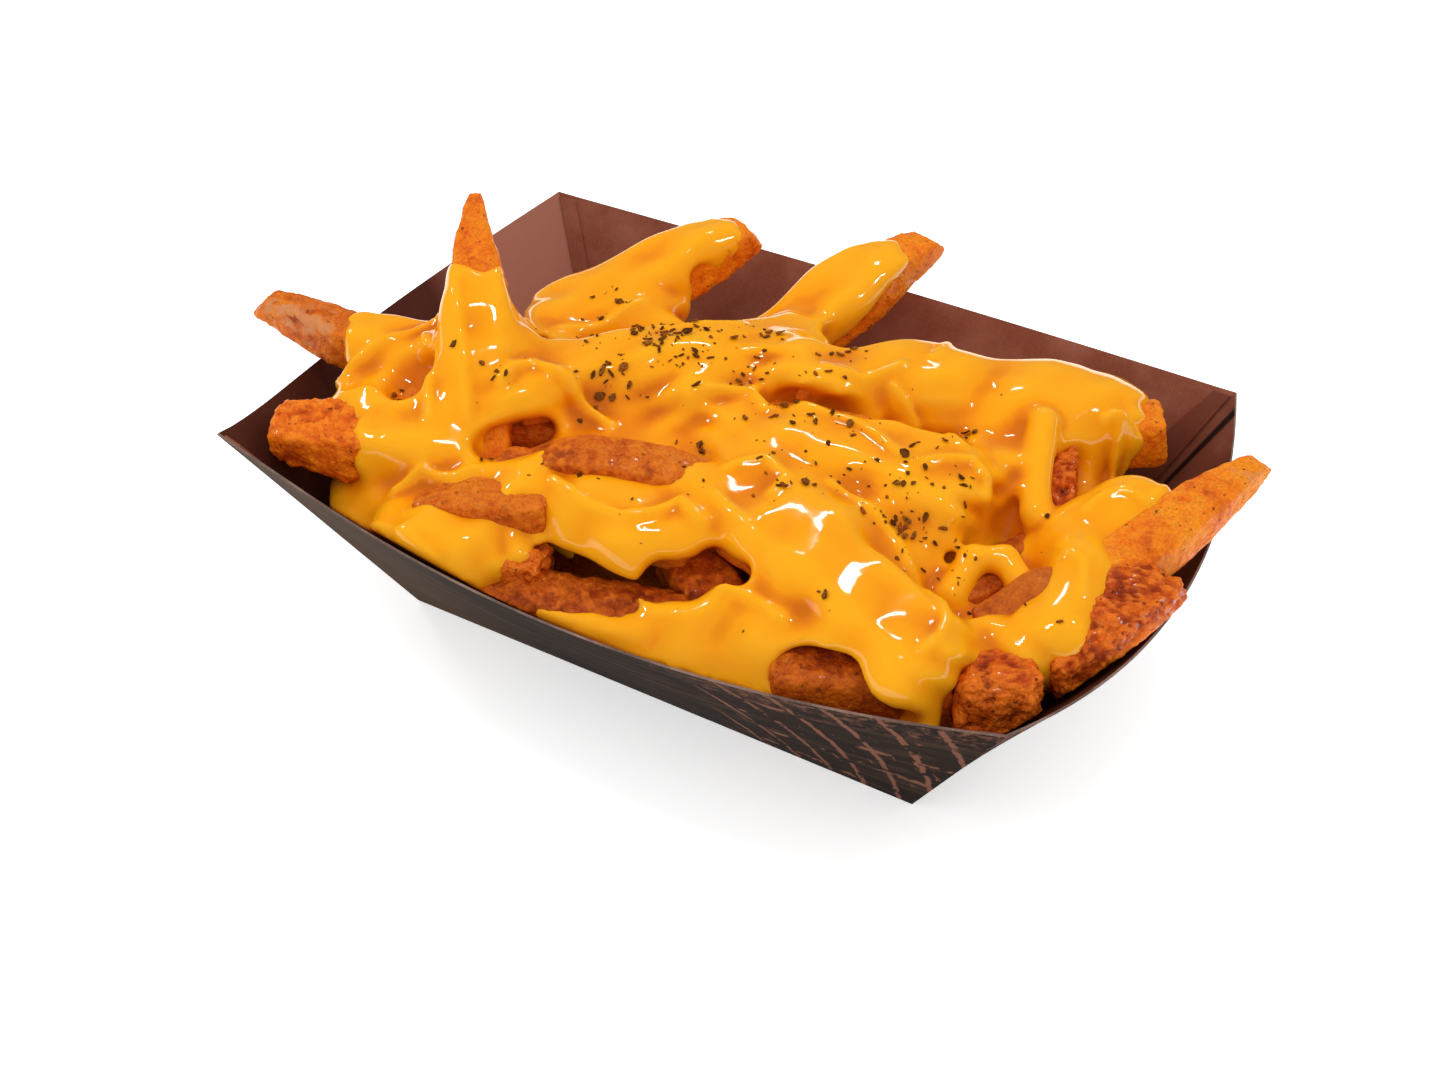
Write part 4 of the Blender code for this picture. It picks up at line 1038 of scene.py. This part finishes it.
def flake_spot(rng, laid):
    """A place above the heap: close beside a flake already laid, or drawn from the scatter's clusters."""
    if laid and rng.random() < CLUMPED:
        beside = rng.choice(laid)
        return Vector((*(beside[i] + rng.gauss(0, CLUMP_SPREAD) * MM for i in range(2)), ABOVE_HEAP))
    middle, spread, _ = rng.choices(SCATTER, weights=[cluster[2] for cluster in SCATTER])[0]
    return Vector((*(rng.gauss(centre, width) * MM for centre, width in zip(middle, spread)), ABOVE_HEAP))


def flake_shape(number):
    """One kind of dried flake: a thin chip with a torn outline, cupped and creased."""
    rng = random.Random(f"flake {number}")
    corners = rng.choice((6, 7, 8))
    bpy.ops.mesh.primitive_cylinder_add(vertices=corners, radius=0.5, depth=FLAKE_THICK, end_fill_type="NGON")
    chip = bpy.context.object
    start_edit(chip)
    bpy.ops.transform.resize(value=(1, rng.uniform(*FLAKE_WIDTHS), 1))
    pick(chip, "FACE", lambda face: face.normal.z > 0.9)
    bpy.ops.mesh.inset(thickness=FLAKE_RIM)
    bpy.ops.transform.translate(value=(0, 0, FLAKE_RISE))
    end_edit()
    ragged = [rng.uniform(*FLAKE_TEARS) for _ in range(corners)]
    cup = rng.uniform(*FLAKE_CUPPING)
    for vert in chip.data.vertices:
        turn = round((math.atan2(vert.co.y, vert.co.x) % math.tau) / math.tau * corners) % corners
        vert.co.x *= ragged[turn]
        vert.co.y *= ragged[turn]
        vert.co.z += cup * (vert.co.x ** 2 + 2 * vert.co.y ** 2)
    return chip


def laid_flake(rng, kinds, spot, normal, length):
    """A copy of one kind of flake on the sauce, turned any way, a little tilted, with its own tone."""
    copy = new_object("flake", rng.choice(kinds).data.copy())
    tilt = Matrix.Rotation(math.radians(rng.gauss(0, FLAKE_TILT)), 4, "X")
    on_sauce = normal.to_track_quat("Z", "Y").to_matrix().to_4x4()
    turn = on_sauce @ Matrix.Rotation(rng.uniform(0, math.tau), 4, "Z")
    middle = spot + normal * FLAKE_LIFT * length
    copy.data.transform(Matrix.Translation(middle) @ turn @ tilt @ Matrix.Scale(length, 4))
    store(copy, "tone", [rng.random()] * len(copy.data.vertices))
    return copy


def herb_flakes(ground):
    """The dried herbs: copies of a few kinds of flake, the longest laid first, joined in one piece."""
    rng = random.Random("herbs")
    kinds = [flake_shape(number) for number in range(FLAKE_KINDS)]
    laid, copies = [], []
    longer = FLAKE_LONGEST - FLAKE_SHORTEST
    lengths = [FLAKE_SHORTEST + longer * rng.random() ** 2 for _ in range(FLAKES)]
    for length in sorted(lengths, reverse=True):
        for _ in range(FLAKE_TRIES):
            spot, normal, _, _ = ground.ray_cast(flake_spot(rng, laid), Vector((0, 0, -1)))
            if spot is None or normal.z < FLAKE_LEVEL:
                continue
            if any((spot - other).length < FLAKE_APART * length for other in laid):
                continue
            laid.append(spot)
            copies.append(laid_flake(rng, kinds, spot, normal, length))
            break
    select_only(copies[0])
    for copy in copies:
        copy.select_set(True)
    bpy.ops.object.join()
    herbs = bpy.context.object
    herbs.name = "herb_flakes"
    for kind in kinds:
        bpy.data.objects.remove(kind, do_unlink=True)
    herbs.data.materials.append(bpy.data.materials["herb_leaf"])
    return herbs


# Materials


class Wire:
    """What a node puts out. The usual signs work on it, each through one more Math node."""

    def __init__(self, socket):
        self.socket = socket
        self.tree = socket.id_data

    def __add__(self, other):
        return self.sum("ADD", self, other)

    def __sub__(self, other):
        return self.sum("SUBTRACT", self, other)

    def __rsub__(self, other):
        return self.sum("SUBTRACT", other, self)

    def __mul__(self, other):
        return self.sum("MULTIPLY", self, other)

    def __truediv__(self, other):
        return self.sum("DIVIDE", self, other)

    def sum(self, operation, one, other):
        return put_out(self.tree, "Math", {0: one, 1: other}, operation=operation)

    def or_more(self, other):
        """The larger of two values."""
        return self.sum("MAXIMUM", self, other)

    def fade(self, low, high):
        """0 at one value, 1 at another, even between them and clamped past them."""
        return put_out(self.tree, "MapRange", {0: self, 1: low, 2: high, 3: 0.0, 4: 1.0})


def feed(node, inputs):
    """Sets a node's inputs to plain values, or joins them to what other nodes put out."""
    for name, value in inputs.items():
        if isinstance(value, Wire):
            node.id_data.links.new(value.socket, node.inputs[name])
        else:
            node.inputs[name].default_value = value


def add_node(tree, kind, inputs=None, **settings):
    """A new node with its settings and its inputs."""
    node = tree.nodes.new("ShaderNode" + kind)
    for name, value in settings.items():
        setattr(node, name, value)
    feed(node, inputs or {})
    return node


def put_out(tree, kind, inputs, output=0, **settings):
    """What a new node puts out."""
    return Wire(add_node(tree, kind, inputs, **settings).outputs[output])


def wires(node):
    """All that a node puts out, by name."""
    return {socket.name: Wire(socket) for socket in node.outputs}


def coords(tree, kind="Object"):
    return put_out(tree, "TexCoord", {}, kind)


def stored(tree, name):
    """The value that a piece stores at its points under a name."""
    return put_out(tree, "Attribute", {}, "Fac", attribute_name=name)


def noise(vector, scale, detail=3.0, rough=0.55):
    inputs = {"Vector": vector, "Scale": scale, "Detail": detail, "Roughness": rough}
    return put_out(vector.tree, "TexNoise", inputs, "Fac")


def thin_lines(value, spacing, width):
    """1 on thin lines that lie a spacing apart along a value, 0 between them."""
    return (value.sum("PINGPONG", value, spacing / 2) / spacing).fade(1.6 * width, 0.8 * width)


def mixed(share, colour, other):
    """A colour changed towards another by a share."""
    other = other if isinstance(other, Wire) else (*other, 1)
    return put_out(share.tree, "Mix", {0: share, 6: colour, 7: other}, 2, data_type="RGBA")


def ramp(value, stops):
    """A colour that runs through stops of place and colour."""
    node = add_node(value.tree, "ValToRGB", {0: value})
    bar = node.color_ramp.elements
    while len(bar) < len(stops):
        bar.new(0.5)
    for element, (place, colour) in zip(bar, stops):
        element.position = place
        element.color = (*colour, 1)
    return Wire(node.outputs[0])


def bumpy(height, strength, distance):
    """A surface's normal where it follows a height."""
    return put_out(height.tree, "Bump", {"Height": height, "Strength": strength, "Distance": distance})


def new_group(name, inputs, outputs):
    """A node group with named sockets: what it is given, by name, and the node for what it puts out."""
    tree = bpy.data.node_groups.new(name, "ShaderNodeTree")
    for side, sockets in (("INPUT", inputs), ("OUTPUT", outputs)):
        for label, kind in sockets.items():
            tree.interface.new_socket(label, in_out=side, socket_type="NodeSocket" + kind)
    return wires(tree.nodes.new("NodeGroupInput")), tree.nodes.new("NodeGroupOutput")


def placed_group(tree, name, inputs):
    """What a group puts out, by name, when it is placed in a material with its own values."""
    return wires(add_node(tree, "Group", inputs, node_tree=bpy.data.node_groups[name]))


def new_material(name):
    """The node tree and the shader of a new material."""
    material = bpy.data.materials.new(name)
    material.use_nodes = True
    return material.node_tree, material.node_tree.nodes["Principled BSDF"]


def fried_crust_group():
    """Fried crust: toasted patches, mottling, granules, dark specks, a film of oil in places, and painted
    light and shade on its ridges and dips.
    """
    given, out = new_group(
        "fried_crust",
        {"Vector": "Vector", "Pale": "Color", "Brown": "Color", "Toasted": "Color", "Toasting": "Float",
         "Specks": "Float", "Valley": "Float"},
        {"Colour": "Color", "Roughness": "Float", "Height": "Float", "Oil": "Float"},
    )
    vector, valley = given["Vector"], given["Valley"]
    patches = noise(vector, 90.0, 3.0, 0.6)
    mottle = noise(vector, 420.0, 4.0, 0.65)
    grain = noise(vector, 1600.0, 2.0, 0.6)
    cells = put_out(vector.tree, "TexVoronoi", {"Vector": vector, "Scale": 750.0}, "Distance")
    tone = patches * 0.6 + mottle * 0.4 + (given["Toasting"] - 0.5) * 0.5
    colour = mixed(tone.fade(0.40, 0.55), given["Pale"], given["Brown"])
    colour = mixed(tone.fade(0.53, 0.68), colour, given["Toasted"])
    colour = mixed(grain.fade(0.35, 0.62) * 0.35, colour, given["Toasted"])
    # Painted light on ridges and painted shade in dips: paler on raised places, toasted colour in dips
    colour = mixed(valley.fade(0.45, 0.15) * 0.75, colour, given["Pale"])
    colour = mixed(valley.fade(0.55, 0.9) * 0.8, colour, given["Toasted"])
    specks = noise(vector, 700.0, 1.0).fade(0.68, 0.74) * given["Specks"]
    feed(out, {
        "Colour": mixed(specks, colour, BURNT_SPECK),
        "Roughness": mottle.fade(0.3, 0.7) * 0.3 + 0.33,
        "Height": cells * -0.6 + grain * 0.7 + mottle * 0.9,
        "Oil": noise(vector, 520.0, 2.0, 0.6).fade(0.56, 0.64),
    })


def crust_material(look, crust):
    """One kind of crust, with the pale inside of the potato where it is broken."""
    tree, shader = new_material(look + "_crust")
    fried = placed_group(tree, "fried_crust", {
        "Vector": coords(tree),
        "Pale": (*crust.pale, 1),
        "Brown": (*crust.brown, 1),
        "Toasted": (*crust.toasted, 1),
        "Toasting": crust.toasting,
        "Specks": crust.specks,
        "Valley": stored(tree, "valley"),
    })
    flesh = stored(tree, "flesh")
    torn = noise(coords(tree), 300.0, 3.0, 0.6)
    inside = flesh * (torn + flesh).fade(0.75, 1.1)
    feed(shader, {
        "Base Color": mixed(inside, fried["Colour"], POTATO_FLESH),
        "Roughness": fried["Roughness"],
        "Coat Weight": fried["Oil"] * crust.oily,
        "Coat Roughness": 0.12,
        "Normal": bumpy(fried["Height"], crust.bump, 0.6 * MM),
        "Specular IOR Level": 0.12,
        "Subsurface Weight": 0.12,
        "Subsurface Radius": (1.0, 0.35, 0.1),
        "Subsurface Scale": 1.5 * MM,
    })


def cheese_material():
    """Melted cheese: smooth and glossy, deeper orange in its dips and paler where it is thin over a ridge,
    partly its own colour and partly painted shade and light.
    """
    tree, shader = new_material("poured_cheese")
    place = coords(tree)
    drift = noise(place, 45.0, 2.0, 0.5)
    wet = noise(place, 130.0, 3.0, 0.5).fade(0.3, 0.75)
    feed(shader, {
        # Painted shade in dips and painted light on ridges, partly the sauce's thicker and thinner places
        "Base Color": ramp(stored(tree, "valley") + (drift - 0.5) * 0.5, CHEESE_COLOURS),
        "Roughness": wet * 0.06 + 0.05,
        "Normal": bumpy(noise(place, 170.0, 2.0, 0.4), 0.12, 0.4 * MM),
        "Specular IOR Level": 0.5,
        "Subsurface Weight": 0.15,
        "Subsurface Radius": (1.0, 0.45, 0.08),
        "Subsurface Scale": 3.0 * MM,
    })


def herb_material():
    """Dried leaf: dark to reddish brown, one tone a flake, with a fine vein mottle."""
    tree, shader = new_material("herb_leaf")
    veins = noise(coords(tree), 1500.0, 2.0, 0.6)
    feed(shader, {
        "Base Color": mixed(veins.fade(0.47, 0.68), ramp(stored(tree, "tone"), LEAF_COLOURS), LEAF_VEIN),
        "Roughness": veins * 0.3 + 0.45,
        "Specular IOR Level": 0.05,
        "Normal": bumpy(veins, 0.5, 0.2 * MM),
    })


def paper_board_group():
    """Paper board: fine fibre, soft blotches and a rubbed bloom, over one ground colour."""
    given, out = new_group(
        "paper_board",
        {"Vector": "Vector", "Ground": "Color", "Rubbed": "Color", "Rubbing": "Float"},
        {"Colour": "Color", "Roughness": "Float", "Height": "Float"},
    )
    fibre = noise(given["Vector"], 1400.0, 4.0, 0.7)
    blotch = noise(given["Vector"], 70.0, 3.0, 0.6)
    rubbed = blotch.fade(0.42, 0.72) * given["Rubbing"] + fibre.fade(0.5, 0.75) * (given["Rubbing"] * 0.5)
    feed(out, {
        "Colour": mixed(rubbed, given["Ground"], given["Rubbed"]),
        "Roughness": blotch * 0.25 + 0.5,
        "Height": fibre,
    })


def shaded_inside(colour):
    """The inside: painted shade darkens the end walls, with painted light at the left back, less of that shade
    near the right back, and a painted dark slit there.
    """
    across = put_out(colour.tree, "SeparateXYZ", {0: coords(colour.tree, "UV")})
    right_end = put_out(colour.tree, "SeparateXYZ", {0: coords(colour.tree)}).fade(-0.01, 0.01)
    # Painted shade over the end walls, with painted light at the left back corner and less shade near the
    # right back corner
    end_wall = across.fade(*END_WALLS)
    pale = across.fade(*LIT_CORNER) * (1.0 - right_end)
    less_shade = across.fade(*LESS_SHADED_CORNER) * right_end
    end_shade = end_wall * (1.0 - pale) * ((1.0 - less_shade * 0.55) * 0.85)
    # Painted shade in a thin slit at the right back corner
    slit = across.fade(*SLIT_LEFT_SIDE) * across.fade(*SLIT_RIGHT_SIDE) * right_end
    colour = mixed(pale * end_wall, colour, PAINTED_CORNER_LIGHT)
    return mixed(slit, mixed(end_shade, colour, PAINTED_END_SHADE), PAINTED_SLIT_SHADE)


def printed_outside(colour):
    """The outside: faint streaks, a lighter left part, and worn boards and broken lines on the right third."""
    outlay = coords(colour.tree, "UV")
    walls = wires(add_node(colour.tree, "SeparateXYZ", {0: outlay}))
    across, up = walls["X"], walls["Y"]
    stretched = put_out(colour.tree, "Mapping", {0: outlay, "Scale": (0.015, 0.28, 1.0)})
    streaks = noise(stretched, 1.0, 5.0, 0.7).fade(0.50, 0.62)
    colour = mixed(streaks * 0.4, colour, PRINT_STREAK)
    # Lighter towards the left
    colour = mixed(across.fade(*LEFT_LIGHTENS) * 0.55, colour, PRINT_PALER)
    wander = noise(outlay, 0.25, 3.0, 0.6) * 2.2
    slanted = across * 0.87 + up * 0.49 + wander
    level = up + across * 0.10 + wander
    slant_lines = thin_lines(slanted, 9.5, 0.055) * noise(outlay, 0.16, 3.0, 0.6).fade(0.40, 0.46)
    level_lines = thin_lines(level, 12.0, 0.060) * noise(outlay, 0.12, 3.0, 0.6).fade(0.54, 0.60)
    lines = slant_lines.or_more(level_lines) * across.fade(*LINES)
    boards = put_out(colour.tree, "CombineXYZ", {0: slanted * 0.28, 1: up * 0.06})
    worn_boards = noise(boards, 1.0, 4.0, 0.7).fade(0.60, 0.66) * across.fade(*WORN_BOARDS)
    rubs = noise(outlay, 0.35, 4.0, 0.7).fade(0.5, 0.62)
    worn_rim = up.fade(*WORN_RIM_UP) * rubs * across.fade(*WORN_RIM)
    return mixed(lines.or_more(worn_boards).or_more(worn_rim) * 0.9, colour, PRINT_WORN)


def paper_material(name, ground, rubbed, rubbing, shine, bump):
    """The tray's paper: its board, with the stains or the print of its side."""
    tree, shader = new_material(name)
    board = placed_group(tree, "paper_board", {
        "Vector": coords(tree),
        "Ground": (*ground, 1),
        "Rubbed": (*rubbed, 1),
        "Rubbing": rubbing,
    })
    over = {"paper_inside": shaded_inside, "paper_outside": printed_outside}.get(name)
    feed(shader, {
        "Base Color": over(board["Colour"]) if over else board["Colour"],
        "Roughness": board["Roughness"],
        "Specular IOR Level": shine,
        "Normal": bumpy(board["Height"], bump, 0.15 * MM),
    })


def make_materials():
    fried_crust_group()
    for look, crust in CRUSTS.items():
        crust_material(look, crust)
    cheese_material()
    herb_material()
    paper_board_group()
    for name, values in PAPERS.items():
        paper_material(name, *values)


# Setting


def floor_material():
    """A floor that is nearly white and glows a little: the glow is painted light that lightens the shadows on
    it.
    """
    tree, shader = new_material("pale_floor")
    shade = noise(coords(tree), 3.0, 2.0, 0.5)
    feed(shader, {
        "Base Color": ramp(shade, [(0.3, (0.96, 0.96, 0.96)), (0.7, (0.98, 0.98, 0.98))]),
        "Roughness": 0.9,
        "Specular IOR Level": 0.1,
        # Painted light: the glow lightens the floor's shadows
        "Emission Color": (1, 1, 1, 1),
        "Emission Strength": 0.5,
    })


def sky_light(name, place, width, power):
    """Soft light from a wide part of the sky, left out of reflections."""
    sun = bpy.data.lights.new(name, "SUN")
    sun.energy = power
    sun.angle = math.radians(width)
    lamp = new_object(name, sun)
    lamp.rotation_euler = Vector(place).to_track_quat("Z", "Y").to_euler()
    lamp.visible_glossy = False


def soft_box(name, place, size, power):
    """A small lit rectangle that looks at the heap."""
    light = bpy.data.lights.new(name, "AREA")
    light.shape = "RECTANGLE"
    light.size, light.size_y = size
    light.energy = power
    lamp = new_object(name, light)
    lamp.location = place
    lamp.rotation_euler = (Vector(LIT_POINT) - Vector(place)).to_track_quat("-Z", "Y").to_euler()


def photo_camera():
    """The camera at the photograph's angle and distance."""
    data = bpy.data.cameras.new("photo_camera")
    data.sensor_width = FILM_WIDTH
    data.lens = CAMERA_LENS
    data.clip_start, data.clip_end = 0.01, 20
    level = math.cos(CAMERA_PITCH)
    back = Vector((math.sin(CAMERA_YAW) * level, -math.cos(CAMERA_YAW) * level, math.sin(CAMERA_PITCH)))
    turn = back.to_track_quat("Z", "Y").to_matrix() @ Matrix.Rotation(-CAMERA_ROLL, 3, "Z")
    eye = new_object("photo_camera", data)
    eye.matrix_world = Matrix.Translation(Vector(CAMERA_TARGET) + back * CAMERA_DISTANCE) @ turn.to_4x4()
    bpy.context.scene.camera = eye


def setting():
    """A pale floor, an even sky with wide soft lights, and soft boxes."""
    bpy.ops.mesh.primitive_plane_add(size=6, location=(0, 0, -0.0002))
    floor = bpy.context.object
    floor.name = "floor"
    floor_material()
    floor.data.materials.append(bpy.data.materials["pale_floor"])
    world = bpy.data.worlds.new("soft_sky")
    bpy.context.scene.world = world
    world.use_nodes = True
    feed(world.node_tree.nodes["Background"], {"Color": (1, 1, 1, 1), "Strength": SKY_GLOW})
    for name, light in SKY_LIGHTS.items():
        sky_light(name, *light)
    for name, box in SOFT_BOXES.items():
        soft_box(name, *box)
    bpy.context.scene.view_settings.view_transform = "Standard"


def put(piece):
    """Lets a piece ride on the one body."""
    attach(piece, "root")


def build():
    photo_camera()
    make_materials()
    tray = folded_tray()
    put(tray)
    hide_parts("tray")
    for side_x, end in ((-1, "left"), (1, "right")):
        for side_y, side in ((-1, "front"), (1, "back")):
            reach = FLAP_REACH if side_x > 0 else FLAP_TOP * NARROW_FLAP
            put(corner_flap(f"flap_{end}_{side}", side_x, side_y, reach))
    fries = [laid_fry(fry) for fry in (*FRIES, *low_fries())]
    for fry in sorted(fries, key=lambda thing: thing.name):
        put(fry)
        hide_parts("fries")
    sauce = poured_sauce()
    put(sauce)
    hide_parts("cheese_sauce")
    ground = BVHTree.FromObject(sauce, bpy.context.evaluated_depsgraph_get())
    put(herb_flakes(ground))
    setting()


build()
